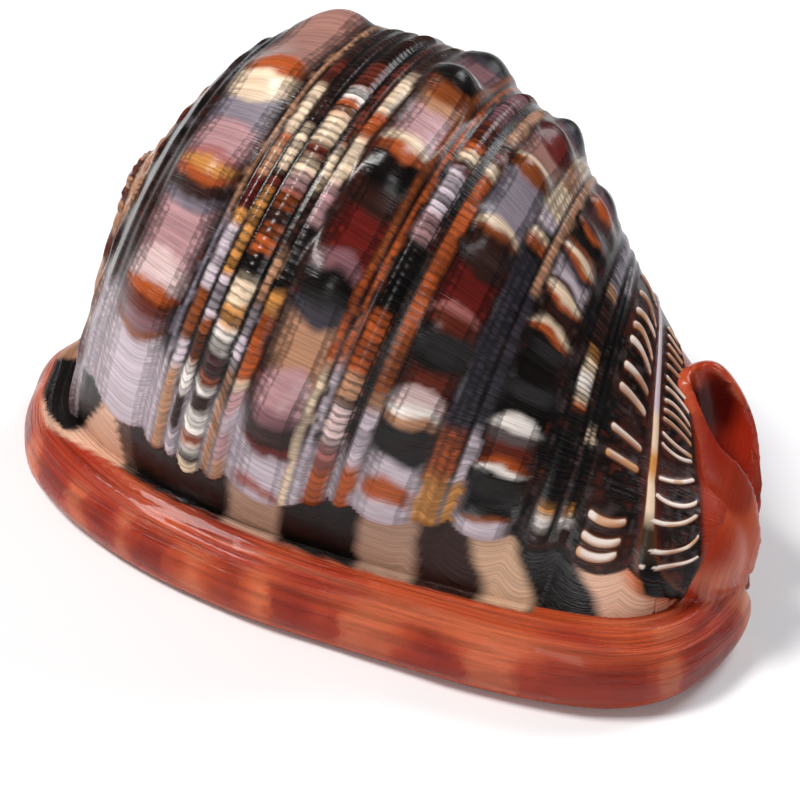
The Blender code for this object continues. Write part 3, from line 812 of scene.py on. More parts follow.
def shape_whorl(around, rings):
    """The closed body whorl, its rings following the spiral rows."""
    bm = bmesh.new()
    ring, share = sphere_shares(bm, around, rings)
    place = eased(ring / rings, RING_SHARES, RING_PLACES)
    ends = [np.full_like(place, STEEPEST), np.full_like(place, 180 - STEEPEST)]

    def station_at(row, turn):
        aligned = station_of(np.minimum(row, LAST_ALIGNED), turn)
        beyond = np.clip((row - LAST_ALIGNED) / (STATIONS[-1] - LAST_ALIGNED), 0, 1)
        return aligned + (STATIONS[-1] - aligned) * beyond

    for side, (stations, turns, _) in enumerate(CREASES):
        turn = np.full_like(place, -30.0 if side == 0 else 200.0)
        for _ in range(10):
            station = station_at(place, turn)
            turn = 0.5 * turn + 0.5 * np.interp(station, stations, turns)
        near = smooth_step(station, stations[0] - 1.5, stations[0] + 0.5)
        near = near * fading(station, stations[-1] - 2.0, stations[-1] + 1.5)
        turn = np.clip(turn, STEEPEST, 180 - STEEPEST)
        ends[side] = ends[side] + (turn - ends[side]) * near
    first, last = ends
    low, high, back = TURN_SHARES[1:4]
    strip, lowest = STRIP
    first = np.minimum(first, lowest - 1)
    turn = first + (lowest - first) * np.clip(share / strip, 0, 1)
    turn = turn + (TOP_TURN - lowest) * np.clip((share - strip) / (low - strip), 0, 1)
    beyond_top = TOP_TURN + (last - TOP_TURN) * np.clip((share - low) / (high - low), 0, 1)
    turn = np.where(share > low, beyond_top, turn)
    under = np.clip((share - high) / (back - high), 0, 1)
    station = station_at(place, turn)
    seen = row_place_of(station, turn)
    points = skin_point(station, turn, whorl_relief(seen, turn) * (ring > 0) * (ring < rings))
    points[:, 2] = np.maximum(points[:, 2], BODY_FLOOR)
    edge_points = []
    for end in (last, first):
        at = station_at(place, end)
        edge_points.append(skin_point(at, end, np.zeros_like(end)))
    below = edge_points[0] + (edge_points[1] - edge_points[0]) * under[:, None]
    middle = on_axis(station_at(place, np.zeros_like(place)))
    below = below + (middle - below) * 0.12 * np.sin(under * math.pi)[:, None]
    sag = np.sin(under * math.pi) * eased(np.clip(place, 9, 147), STATIONS, RADII)
    below[:, 2] = np.maximum(below[:, 2] - sag, BODY_FLOOR)
    points = np.where((under > 0)[:, None], below, points)
    points = np.where((ring == 0)[:, None], on_axis(STATIONS[0]), points)
    points = np.where((ring == rings)[:, None], on_axis(STATIONS[-1]), points)
    return write_points("whorl", bm, points)


def shape_shield():
    """The lip and shield as one closed plate with a rounded rim and a flat band to rest on."""
    bm = bmesh.new()
    rings = 2 + RIM_RINGS + FACE_RINGS
    ring, share = sphere_shares(bm, SHIELD_AROUND, rings)
    edge = curve_through(OUTLINE, share, True)
    inwards = -plan_normal(OUTLINE, share, True)
    section = curve_through(RIM_SECTION, np.clip((ring - 1) / RIM_RINGS, 0, 1), False)
    flat = edge[:, :2] + inwards * (RIM_WIDTH * section[:, :1])
    height = edge[:, 2] * np.maximum(section[:, 1], 0)
    band = edge[:, :2] + inwards * (RIM_WIDTH * RIM_SECTION[-1][0] + FLAT_BAND)
    step = np.clip((ring - 1 - RIM_RINGS) / (rings - 1 - RIM_RINGS), 0, 1)[:, None]
    face = band + (FACE_CENTRE - band) * np.maximum(step - 1 / FACE_RINGS, 0) / (1 - 1 / FACE_RINGS)
    flat = np.where(step > 0, face, flat)
    near = np.clip(1 - aperture_distance(flat) / HOLLOW_REACH, 0, 1)
    rise = HOLLOW_RISE * near * (2 - near) * (step[:, 0] > 1 / FACE_RINGS)
    height = np.where(step[:, 0] > 0, rise, height)
    flat = np.where((ring == 0)[:, None], FACE_CENTRE, flat)
    return write_points("shield", bm, np.column_stack([flat, height]))


def aperture_distance(flat):
    """Distance in plan from the middle line of the aperture."""
    line = curve_through(APERTURE, np.linspace(0, 1, 61), False)[:, :2]
    gaps = np.linalg.norm(flat[:, None, :] - line[None], axis=2)
    return gaps.min(axis=1)


def shape_tube(name, inset, deeper, shift, past, around, rings):
    """The canal, or the channel that opens it, as a closed tube along the canal's path."""
    bm = bmesh.new()
    ring, turn_share = sphere_shares(bm, around, rings)
    along = ring / rings
    share, closing = rounded_ends(along)
    path = curve_through(CANAL, share, False)
    ahead = curve_through(CANAL, np.minimum(share + 0.01, 1), False)[:, :3]
    behind = curve_through(CANAL, np.maximum(share - 0.01, 0), False)[:, :3]
    forward = unit(ahead - behind)
    slit = curve_through(CANAL_SLIT, share, False)
    slit = unit(slit - forward * np.sum(slit * forward, axis=1, keepdims=True))
    side = np.cross(forward, slit)
    angle = (turn_share * math.tau)[:, None]
    lower = CANAL_WALL_LOWER * fading(path[:, 2:3], *CANAL_NARROWS) * (inset > 0)
    width = path[:, 3:4] - inset - lower
    out = slit * (path[:, 4:5] + deeper) * np.cos(angle) + side * width * np.sin(angle)
    beyond = forward * (past * along[:, None] ** 4)
    return write_points(name, bm, path[:, :3] + slit * shift + out * closing + beyond)


def rounded_ends(along):
    """Shares along a closed tube that crowd at its ends, and its width there, which closes at both."""
    return 0.5 - 0.5 * np.cos(along * math.pi), np.clip(np.sin(along * math.pi), 0, 1)[:, None] ** 0.6


def shape_cheek():
    """The cheek that fills the hollow beside the canal."""
    bm = bmesh.new()
    bmesh.ops.create_uvsphere(bm, u_segments=48, v_segments=32, radius=1)
    points = np.array([v.co[:] for v in bm.verts])
    return write_points("cheek", bm, CHEEK[0] + points * CHEEK[1])


def shape_channel():
    """The channel that opens the canal."""
    return shape_tube("channel", CANAL_WALL, CHANNEL_DEEPER, CHANNEL_SHIFT, CHANNEL_PAST, 64, 56)


def shape_aperture():
    """The toothed slit between lip and shield, wider at the face than in its throat."""
    bm = bmesh.new()
    ring, around = sphere_shares(bm, 28, 260)
    share = ring / 260
    from_end = np.clip(np.minimum(share, 1 - share) / ROUNDED_END, 0, 1)
    rounded = np.sqrt(np.clip(1 - (1 - from_end) ** 2, 0, 1))
    rounded = np.maximum(rounded, 0.02)
    climb = 1 - np.abs(around * 2 - 1)
    side = np.where(around < 0.5, 1.0, -1.0) * (np.minimum(climb, 1 - climb) > 0.001)
    height = np.interp(climb, (0, 0.06, 0.3, 0.65, 0.8, 1), LEVEL_HEIGHTS)
    wider = np.interp(height, LEVEL_HEIGHTS, LEVEL_WIDER)
    toothing = np.interp(height, LEVEL_HEIGHTS, LEVEL_TOOTHED)
    path = curve_through(APERTURE, share, False)
    normal = plan_normal(APERTURE, share, False)
    beat = (0.5 - 0.5 * np.cos(math.tau * share * APERTURE_LENGTH / TOOTH_PITCH)) ** 0.8
    tooth = np.where(side > 0, LIP_TOOTH, FOLD_HEIGHT) * toothing * beat
    flat = path[:, :2] + normal * (side * (path[:, 2] + wider - tooth) * rounded)[:, None]
    lower = np.interp(share, LOW_END[:2], (1, LOW_END[2]))
    height = np.where(height < 10, height, height * lower)
    return write_points("aperture", bm, np.column_stack([flat, height]))


def shape_chamber():
    """The room inside the last whorl, flat below."""
    bm = bmesh.new()
    ring, share = sphere_shares(bm, 64, 40)
    reached, closing = rounded_ends(ring / 40)
    station = CHAMBER_REACH[0] + (CHAMBER_REACH[1] - CHAMBER_REACH[0]) * reached
    radius, across, up = plain_radius(station, share * 360 - 90)
    points = on_axis(station) + outward(across, up) * (radius - WALL)[:, None] * closing
    points[:, 2] = np.maximum(points[:, 2], CHAMBER_FLOOR)
    return write_points("chamber", bm, points)


def combined(target, name, grown, cuts):
    """A new object: target joined with each of grown and then cut by each of cuts. All of them go."""
    for tool in grown + cuts:
        step = target.modifiers.new(tool.name, "BOOLEAN")
        step.operation = "UNION" if tool in grown else "DIFFERENCE"
        step.solver = "MANIFOLD"
        step.object = tool
    made = evaluated(target, name)
    for tool in grown + cuts:
        bpy.data.objects.remove(tool)
    return made


def evaluated(target, name):
    """A new object with target's modifiers applied, in place of target."""
    bpy.context.view_layer.update()
    shaped = target.evaluated_get(bpy.context.evaluated_depsgraph_get())
    mesh = bpy.data.meshes.new_from_object(shaped)
    mesh.validate()
    mesh.name = name
    made = placed(name, mesh)
    bpy.data.objects.remove(target)
    return made


def mesh_points(mesh):
    """The mesh's vertices in the millimetres that the shape is described in."""
    flat = np.zeros(len(mesh.vertices) * 3, np.float32)
    mesh.vertices.foreach_get("co", flat)
    return flat.reshape(-1, 3).astype(float) / METRES - TO_MIDDLE


def paint(mesh, name, colours):
    """Stores a colour for each vertex."""
    layer = mesh.color_attributes.new(name, "FLOAT_COLOR", "POINT")
    full = np.column_stack([np.clip(colours, 0, 1), np.ones(len(colours))])
    layer.data.foreach_set("color", full.astype(np.float32).ravel())


def store(mesh, names, rows):
    """Stores a number for each vertex under each name."""
    for name, values in zip(names, rows):
        layer = mesh.attributes.new(name, "FLOAT", "POINT")
        layer.data.foreach_set("value", np.asarray(values, np.float32))


def mixed(under, *layers):
    """Colours under one or more layers, each of them a colour and its share. A colour is given as rows
    or by its palette name."""
    if isinstance(under, str):
        under = seen_colour(under)
    for over, share in zip(layers[::2], layers[1::2]):
        if isinstance(over, str):
            over = seen_colour(over)
        under = under + (over - under) * share[:, None]
    return under


def colours_at(values, stops, names):
    """Colours at these values, where each name stands between its own pair of stops."""
    colours = np.array([seen_colour(name) for name in names for _ in range(2)])
    return np.column_stack([np.interp(values, stops, colours[:, k]) for k in range(3)])


def along_marks(turn, marks, softness=0.8):
    """Colour at these angles of a band whose marks run from high angles to low ones."""
    stops, names = [], []
    for high, low, name in reversed(marks):
        soft = min(softness, (high - low) / 2.6)
        stops += [low + soft, high - soft]
        names.append(name)
    return colours_at(turn, stops, names)


def knob_row_at(low, high):
    """The row of knobs that a band of marks belongs to, or None for a cord."""
    if high - low < NARROWEST_KNOB_BAND:
        return None
    middle = (low + high) / 2
    return min(KNOB_ROWS, key=lambda row: abs(row[0] - middle))


def band_colour(place, turn, low, high, marks):
    """Colour of one spiral band, its marks arched over the knobs and curved under them."""
    row = knob_row_at(low, high)
    if row is None:
        folded = TOP_OF_MARKS - (turn - TOP_OF_MARKS) * MARKS_SLOWER
        return along_marks(np.where(turn > TOP_OF_MARKS, folded, turn), marks)
    first, spacing = row[3:5]
    across = (place - row[0]) / (row[1] * 0.7)
    phase = np.sin(math.tau * (turn - first) / spacing)
    bent = turn + 2.4 * np.minimum(across * across, 1.5) * phase
    near = (bent - first + spacing / 2) % spacing - spacing / 2
    repeated = along_marks(near * KNOB_MARKS_APART / spacing, KNOB_MARKS)
    return mixed(along_marks(bent, marks), repeated, smooth_step(turn, MARKED_FROM - 4, MARKED_FROM))


def ground_colour(place, turn):
    """The dark, finely netted ground between the bands, paler near the lip and on the spire."""
    lump = soft_noise(place * 0.3, turn * 0.09, 11)
    fine = soft_noise(place * 1.1, turn * 0.35, 12)
    pale = fading(turn, 0, 9) * fading(place, 88, 100)
    pale = np.maximum(pale, fading(place, 30, 33) * fading(turn, 8, 14))
    # Lilac-grey streaks high on the shoulder near the spire are painted sheen
    shoulder_sheen = fading(place, 28, 34) * smooth_step(turn, 36, 60)
    streak = smooth_step(soft_noise(place * 0.15, turn * 0.35, 13), -0.2, 0.5)
    number, step = spire_coil(place, turn)
    spots = soft_noise(number * 3.3 + step, turn * 0.07, 14)
    suture = smooth_step(np.abs(step - 0.5), 0.38, 0.47)
    spire = mixed("tan", "red_brown", smooth_step(spots, -0.1, 0.2), "brown", 0.85 * suture)
    return mixed(
        "black", "brown", smooth_step(lump, -0.3, 0.7),
        "red_brown", 0.6 * smooth_step(fine, 0.3, 0.9),
        "grey_brown", 0.4 * smooth_step(-fine, 0.2, 0.8),
        "lilac_white", 0.8 * pale,
        "lilac_grey", 0.55 * shoulder_sheen * streak,
        spire, fading(place, 22, 27),
    )


def lip_back_colour(place, turn):
    """Wide patches across the smooth back of the lip."""
    seen = place - np.interp(place, *PATCH_SLANT) * (turn + 12)
    seen = seen + 0.7 * soft_noise(turn * 0.3, place * 0.1, 15)
    stops = [end for low, high, _ in LIP_PATCHES for end in (low + 0.3, high - 0.3)]
    return colours_at(seen, stops, [name for _, _, name in LIP_PATCHES])


def end_patch_colour(around, inward, height, length):
    """Patches across the lip at the spire end, and black where they meet the others."""
    seen = (around + length / 2) % length - length / 2
    colour = "black"
    for start, slant, climb, name in END_PATCHES:
        edge = start + slant * np.clip(inward - 3, 0, 3) + climb * (height - END_HEIGHT)
        colour = mixed(colour, name, smooth_step(seen, edge - END_SOFTNESS, edge + END_SOFTNESS))
    return colour


def line_colour(place, turn):
    """Colour of the ribs, paler on their upper side, and of the ridge where that is nearer."""
    distance, lean = rib_distance(place, turn)
    pale = 0.5 + 0.5 * soft_noise(place * 0.35, turn * 0.12, 23) + 0.5 * np.clip(lean, -1, 1)
    golden = smooth_step(soft_noise(place * 0.5, turn * 0.1, 24), 0.2, 0.7)
    colour = mixed(
        "amber", "tan", smooth_step(pale, -0.5, 0.2),
        "white", 0.85 * smooth_step(pale, 0.1, 0.9),
        "gold", 0.7 * golden,
    )
    ridge = along_marks(turn, RIDGE_MARKS, 1.5)
    nearer = np.abs(ridge_offset(place, turn)) < distance
    return np.where(nearer[:, None], ridge, colour)


def whorl_colour(place, turn):
    """Colour of the whorl: its bands on the ground, the back of the lip, the canal end and the crease."""
    wavy_place, wavy_turn = place, growth_turn(place, turn)
    for size, by_place, by_turn, seed in PLACE_WAVES:
        wavy_place = wavy_place + size * soft_noise(place * by_place, turn * by_turn, seed)
    for size, by_place, by_turn, seed in TURN_WAVES:
        wavy_turn = wavy_turn + size * soft_noise(place * by_place, turn * by_turn, seed)
    colour = ground_colour(wavy_place, wavy_turn)
    for low, high, marks in BANDS:
        across = np.abs(wavy_place - (low + high) / 2) / ((high - low) / 2)
        inside = across < BAND_END + 0.05
        band = band_colour(wavy_place[inside], wavy_turn[inside], low, high, marks)
        soft = BAND_FADES[0] if knob_row_at(low, high) else BAND_FADES[1]
        colour[inside] = mixed(colour[inside], band, fading(across[inside], soft, BAND_END))
    dark, *beside = RIDGE_BESIDE
    colour = mixed(colour, "maroon", dark * fading(np.abs(place - ridge_place(turn)), *beside))
    edge, end = lower_edge(place), body_end(turn)
    return mixed(
        lip_back_colour(place, turn), colour, smooth_step(turn, edge - 0.25, edge + 0.35),
        "lip", smooth_step(place, end - 0.4, end + 0.8),
        "lip_orange", near_crease(place, turn),
    )


def near_crease(place, turn):
    """Share of the rim's own colour beside the crease."""
    station = station_of(np.minimum(place, LAST_ALIGNED), turn)
    share = np.zeros_like(turn)
    for side, (stations, turns, _) in zip((1, -1), CREASES):
        gap = (turn - np.interp(station, stations, turns)) * side
        beside = smooth_step(station, stations[0] - 2, stations[0] + 1)
        share = np.maximum(share, beside * fading(gap, 0.6, 2.0))
    return share


def node(tree, kind, **values):
    made = tree.nodes.new(kind)
    for name, value in values.items():
        if name in made.inputs:
            made.inputs[name].default_value = value
        else:
            setattr(made, name, value)
    return made


def number_attribute(tree, name):
    return node(tree, "ShaderNodeAttribute", attribute_name=name).outputs["Fac"]


def calculated(tree, operation, first, second):
    """One step of arithmetic on sockets or plain numbers."""
    made = node(tree, "ShaderNodeMath", operation=operation)
    for value, slot in zip((first, second), made.inputs):
        if isinstance(value, (int, float)):
            slot.default_value = value
        else:
            tree.links.new(value, slot)
    return made.outputs[0]


def times(tree, first, second):
    return calculated(tree, "MULTIPLY", first, second)


def plus(tree, first, second):
    return calculated(tree, "ADD", first, second)


def streaks(tree, across, along, detail):
    """Noise in two scaled directions, for lines that follow the growth of the shell."""
    noise = node(tree, "ShaderNodeTexNoise", Scale=1.0, Detail=detail, Roughness=0.6)
    tree.links.new(side_by_side(tree, across, along), noise.inputs["Vector"])
    return noise.outputs["Fac"]


def side_by_side(tree, first, second):
    joined = node(tree, "ShaderNodeCombineXYZ")
    tree.links.new(first, joined.inputs[0])
    tree.links.new(second, joined.inputs[1])
    return joined.outputs[0]


def ranged(tree, socket, low, high, to_low, to_high):
    made = node(tree, "ShaderNodeMapRange", interpolation_type="SMOOTHSTEP")
    tree.links.new(socket, made.inputs["Value"])
    for name, value in (("From Min", low), ("From Max", high), ("To Min", to_low), ("To Max", to_high)):
        made.inputs[name].default_value = value
    return made.outputs["Result"]


def toned(tree, colour, tone):
    """The colour multiplied by a number that varies over the surface."""
    made = node(tree, "ShaderNodeVectorMath", operation="SCALE")
    tree.links.new(colour, made.inputs[0])
    tree.links.new(tone, made.inputs["Scale"])
    return made.outputs[0]


def blended(tree, under, over, share):
    """Colour between a socket and another socket or plain colour."""
    made = node(tree, "ShaderNodeMix", data_type="RGBA")
    tree.links.new(share, made.inputs[0])
    tree.links.new(under, made.inputs[6])
    if isinstance(over, tuple):
        made.inputs[7].default_value = over
    else:
        tree.links.new(over, made.inputs[7])
    return made.outputs[2]


def colour_attribute(tree, name):
    return node(tree, "ShaderNodeAttribute", attribute_name=name).outputs["Color"]


def surface_material(name, colour, height, polish):
    """A glossy shell surface: its colour, its bump and an uneven polish."""
    bump_depth, roughness, coat = polish
    made = bpy.data.materials.new(name)
    made.use_nodes = True
    tree = made.node_tree
    surface = tree.nodes["Principled BSDF"]
    tree.links.new(colour(tree), surface.inputs["Base Color"])
    place = node(tree, "ShaderNodeTexCoord").outputs["Object"]
    uneven = node(tree, "ShaderNodeTexNoise", Scale=POLISH_SCALE, Detail=3.0)
    tree.links.new(place, uneven.inputs["Vector"])
    tree.links.new(ranged(tree, uneven.outputs["Fac"], 0.3, 0.7, *roughness), surface.inputs["Roughness"])
    bump = node(tree, "ShaderNodeBump", Strength=1.0, Distance=bump_depth * METRES)
    tree.links.new(height(tree), bump.inputs["Height"])
    tree.links.new(bump.outputs["Normal"], surface.inputs["Normal"])
    surface.inputs["Coat Weight"].default_value = coat
    surface.inputs["Coat Roughness"].default_value = COAT_ROUGHNESS
    surface.inputs["Specular IOR Level"].default_value = SPECULAR_LEVEL
    return made


def distance_to_whole(tree, count):
    """How far a count is from the nearest whole number."""
    share = calculated(tree, "FRACT", count, 0.0)
    off = calculated(tree, "ABSOLUTE", calculated(tree, "SUBTRACT", share, 0.5), 0.0)
    return calculated(tree, "SUBTRACT", 0.5, off)


def net_tone(tree, place, turn):
    """Tone of the grooves between the cords and of the beads on them."""
    count, gap = number_attribute(tree, "groove_count"), number_attribute(tree, "groove_gap")
    waver = streaks(tree, times(tree, place, 0.7), times(tree, turn, 0.9), 1.0)
    from_groove = times(tree, distance_to_whole(tree, count), gap)
    from_groove = plus(tree, from_groove, ranged(tree, waver, *GROOVE_WAVER))
    groove = ranged(tree, from_groove, *GROOVE_SHADE)
    cord = calculated(tree, "FLOOR", count, 0.0)
    beat = plus(tree, times(tree, turn, 1 / BEAD_PITCH), times(tree, cord, BEAD_SHIFT))
    beat = plus(tree, beat, ranged(tree, waver, *BEAD_WAVER))
    smooth_row = ranged(tree, gap, *SMOOTH_ROWS)
    bead = ranged(tree, distance_to_whole(tree, beat), *BEAD_SHADE)
    bead = calculated(tree, "MAXIMUM", bead, smooth_row)
    each = node(tree, "ShaderNodeTexWhiteNoise", noise_dimensions="2D")
    tree.links.new(side_by_side(tree, cord, calculated(tree, "FLOOR", beat, 0.0)), each.inputs["Vector"])
    varied = ranged(tree, each.outputs["Value"], *BEAD_VARIETY)
    varied = calculated(tree, "MAXIMUM", varied, smooth_row)
    both = times(tree, times(tree, groove, varied), bead)
    lost = times(tree, calculated(tree, "SUBTRACT", 1.0, both), number_attribute(tree, "net"))
    return calculated(tree, "SUBTRACT", 1.0, lost)


def line_distance(tree):
    """Distance to the nearest rib or to the ridge, as a share of its half thickness."""
    off = distance_to_whole(tree, number_attribute(tree, "rib_count"))
    off = times(tree, off, number_attribute(tree, "rib_spacing"))
    outside = number_attribute(tree, "rib_outside")
    rib = calculated(tree, "SQRT", plus(tree, times(tree, off, off), times(tree, outside, outside)), 0.0)
    ridge = calculated(tree, "ABSOLUTE", number_attribute(tree, "ridge_offset"), 0.0)
    nearest = calculated(tree, "MINIMUM", rib, ridge)
    return plus(tree, nearest, number_attribute(tree, "lines_hidden"))


def whorl_material(growth_contrast):
    """Growth lines, dark grooves and the beads of the cords over the painted tint, and sharp ribs."""
    def growth_lines(tree, across, along):
        place, turn = number_attribute(tree, "row_place"), number_attribute(tree, "growth_turn")
        return streaks(tree, times(tree, place, across), times(tree, turn, along), 3.0), place, turn

    def colour(tree):
        growth, place, turn = growth_lines(tree, 0.07, 2.1)
        growth = ranged(tree, growth, 0.36, 0.62, 1 - growth_contrast, 1.08)
        tone = times(tree, growth, net_tone(tree, place, turn))
        base = toned(tree, colour_attribute(tree, "tint"), tone)
        line = line_distance(tree)
        shadow = tuple(seen_colour("amber") * 0.8) + (1.0,)
        base = blended(tree, base, shadow, ranged(tree, line, *LINE_SHADOW))
        return blended(tree, base, colour_attribute(tree, "line_tint"), ranged(tree, line, *LINE_EDGE))

    def height(tree):
        return growth_lines(tree, 0.1, 2.0)[0]

    return surface_material("whorl", colour, height, WHORL_POLISH)


def lip_material(growth_contrast):
    """Lines along the rim, in the colour and as folds of its bump."""
    def lines(tree, along):
        inward, around = number_attribute(tree, "inward"), number_attribute(tree, "around")
        return streaks(tree, times(tree, inward, 1.7), times(tree, around, along), 4.0)

    def colour(tree):
        tone = ranged(tree, lines(tree, 0.03), 0.35, 0.62, -growth_contrast, 0.12)
        tone = times(tree, tone, number_attribute(tree, "lines"))
        tone = plus(tree, tone, 1.0)
        return toned(tree, colour_attribute(tree, "tint"), tone)

    def height(tree):
        return times(tree, lines(tree, 0.045), number_attribute(tree, "lines"))

    return surface_material("lip", colour, height, LIP_POLISH)


def finish_piece(piece, material):
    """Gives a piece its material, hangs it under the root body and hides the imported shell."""
    piece.data.materials.clear()
    piece.data.materials.append(material)
    piece.data.shade_smooth()
    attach(piece, "root")
    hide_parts(NODE)


def outline_places(points):
    """For each point: millimetres around the outline, distance inwards from its edge and height of the
    crease there; and the outline's length."""
    share = np.arange(600) / 600
    edge = curve_through(OUTLINE, share, True)[:, :2]
    normal = plan_normal(OUTLINE, share, True)
    lengths = np.cumsum(np.linalg.norm(np.diff(edge, axis=0, prepend=edge[-1:]), axis=1))
    nearest = np.zeros(len(points), int)
    for start in range(0, len(points), 5000):
        part = points[start:start + 5000, :2]
        nearest[start:start + 5000] = np.argmin(
            (part[:, None, 0] - edge[None, :, 0]) ** 2 + (part[:, None, 1] - edge[None, :, 1]) ** 2, axis=1)
    gap = points[:, :2] - edge[nearest]
    inward = -np.sum(gap * normal[nearest], axis=1)
    slip = gap[:, 0] * -normal[nearest][:, 1] + gap[:, 1] * normal[nearest][:, 0]
    crease = curve_through(OUTLINE, share, True)[:, 2]
    return lengths[nearest] - slip, inward, crease[nearest], lengths[-1]


def rim_relief(points, around, inward, crease):
    """Uneven folds along the rim, stronger on its top, as the lip grew in layers."""
    height = points[:, 2] / crease
    rim = fading(inward, 9, 12) * fading(height, 1.05, 1.3)
    top = smooth_step(height, 0.3, 0.75)
    path = inward - 0.45 * points[:, 2] + 0.8 * soft_noise(around * 0.05, around * 0.0, 41)
    folds = soft_noise(path * 1.05, around * 0.035, 42) + 0.5 * soft_noise(path * 2.0, around * 0.06, 43)
    swell = soft_noise(around * 0.09, around * 0.0, 44)
    outer = smooth_step(height, 0.05, 0.3) * fading(inward, 4, 8)
    return (0.42 * folds * top + 0.35 * swell * outer) * rim


def lip_colour(points, normals, around, inward, crease, length):
    """Colour of the lip, the shield and the canal, with the patches at the spire end of its back."""
    x, y, z = points.T
    height = z / crease
    shade = soft_noise(around * 0.09, inward * 0.3, 31)
    layer = soft_noise(inward * 1.1 - z * 0.5, around * 0.03, 33)
    outer = smooth_step(height, 0.04, 0.2) * fading(height, 0.66, 0.9) * fading(inward, 3.5, 6)
    gap = np.full_like(around, 1e3)
    for middle, half_width in RIM_GAPS:
        gap = np.minimum(gap, np.abs(around - middle) / half_width)
    ragged = gap + 0.5 * soft_noise(around * 0.3, z * 0.25, 32)
    slit = aperture_gap(points[:, :2])
    colour = mixed(
        "lip", "lip_orange", smooth_step(shade, -0.4, 0.8),
        "lip_peach", 0.45 * smooth_step(layer, 0.2, 0.7) * smooth_step(height, 0.5, 0.9),
        "lip_red", 0.7 * smooth_step(ragged, 0.6, 2.0) * outer,
        "lip_peach", 0.55 * fading(ragged, 0.2, 1.1) * outer,
        "lip_orange", 0.7 * (fading(height, 0.08, 0.3) * fading(inward, 3.5, 6)),
        "lip_orange", 0.6 * (smooth_step(inward, 4, 12) * fading(z, 5, 9)),
        "tooth", 0.9 * (fading(slit, 1.5, 7) * fading(z, 9, 13)),
        "lip_red", 0.7 * (fading(slit, -1, 0.6) * smooth_step(z, 8, 13)),
    )
    spire_end = fading(x, *SPIRE_END)
    bare = 1.0
    for value, (low, high, less) in ((inward, BARE_INWARD), (height, BARE_HEIGHT)):
        bare = bare * smooth_step(value, low - less * spire_end, high - less * spire_end)
    bare = bare * (x < BARE_BEHIND[0]) * (y < BARE_BEHIND[1])
    back = mixed(end_patch_colour(around, inward, z, length), lip_back_colour(*skin_places(points)),
                 smooth_step(x, *END_REACH))
    depth, facing = canal_share(points, normals)
    inside = fading(depth, *CANAL_INSIDE) * smooth_step(z, *CANAL_FROM) * smooth_step(facing, *CANAL_FACING)
    # Painted shade over the deep upper part of the canal, high and far in
    dark = smooth_step(z, *CANAL_SHADE_ABOVE) * fading(x, *CANAL_SHADE_BEFORE)
    fan = np.degrees(np.arctan2(z - FAN_MIDDLE[1], x - FAN_MIDDLE[0]))
    pale = smooth_step(soft_noise(fan * 0.12, y * 0.05, 34), -0.1, 0.5)
    pale = pale * smooth_step(x, *FAN_BEYOND) * fading(z, *FAN_BELOW)
    pale = pale * smooth_step(z, *FAN_ABOVE) * smooth_step(inward, 3, 5)
    within = mixed("canal_glow", "canal_shade", dark)
    return mixed(colour, back, bare, within, inside, "lip_peach", 0.55 * pale)


def canal_share(points, normals):
    """Distance from the canal's middle line, as a share of its half width and half depth, and how
    squarely the surface faces that line."""
    share = np.linspace(0.3, 1, 60)
    path = curve_through(CANAL, share, False)
    slit = unit(curve_through(CANAL_SLIT, share, False))
    best = np.full(len(points), 9.0)
    facing = np.zeros(len(points))
    for middle, way in zip(path, slit):
        gap = points - middle[:3]
        out = gap @ way
        beside = np.linalg.norm(gap - np.outer(out, way), axis=1)
        depth = np.hypot(out / middle[4], beside / middle[3])
        inwards = -np.sum(gap * normals, axis=1) / np.linalg.norm(gap, axis=1)
        facing = np.where(depth < best, inwards, facing)
        best = np.minimum(best, depth)
    return best, facing


def aperture_gap(flat):
    """Distance in plan from the edge of the aperture's throat."""
    share = np.linspace(0, 1, 121)
    line = curve_through(APERTURE, share, False)
    best = np.full(len(flat), 1e9)
    for x, y, half_width in line:
        best = np.minimum(best, np.hypot(flat[:, 0] - x, flat[:, 1] - y) - half_width)
    return best


class ShellLooks(bpy.types.PropertyGroup):
    rows_around: bpy.props.IntProperty(
        name="Vertices around", description="Vertices around the body whorl", default=384, min=60)
    rings: bpy.props.IntProperty(
        name="Rings", description="Rings of the whorl, from the spire to the canal", default=230, min=40)
    growth_contrast: bpy.props.FloatProperty(
        name="Growth lines", description="How much darker the growth lines are", default=0.22, min=0,
        max=1, subtype="FACTOR")
    lip_contrast: bpy.props.FloatProperty(
        name="Rim lines", description="How much darker the lines along the rim are", default=0.28, min=0,
        max=1, subtype="FACTOR")
    floor_colour: bpy.props.FloatVectorProperty(
        name="Floor", description="Colour of the studio floor", default=(0.88, 0.88, 0.89), size=3,
        subtype="COLOR")
    floor_size: bpy.props.FloatProperty(
        name="Floor size", description="Width of the studio floor", default=6.0, unit="LENGTH")
    lens: bpy.props.FloatProperty(
        name="Lens", description="Focal length of the camera in millimetres", default=89.86, min=10)
    azimuth: bpy.props.FloatProperty(
        name="Camera azimuth", description="Way that the camera looks from, in degrees", default=20.125)
    elevation: bpy.props.FloatProperty(
        name="Camera elevation", description="Height of the camera, in degrees", default=35.463)
    roll: bpy.props.FloatProperty(
        name="Camera roll", description="Turn of the picture, in degrees", default=8.152)
    eye: bpy.props.FloatVectorProperty(
        name="Camera place", description="Where the camera stands", default=(0.10595, -0.296507, 0.243478),
        size=3, subtype="TRANSLATION", unit="LENGTH")


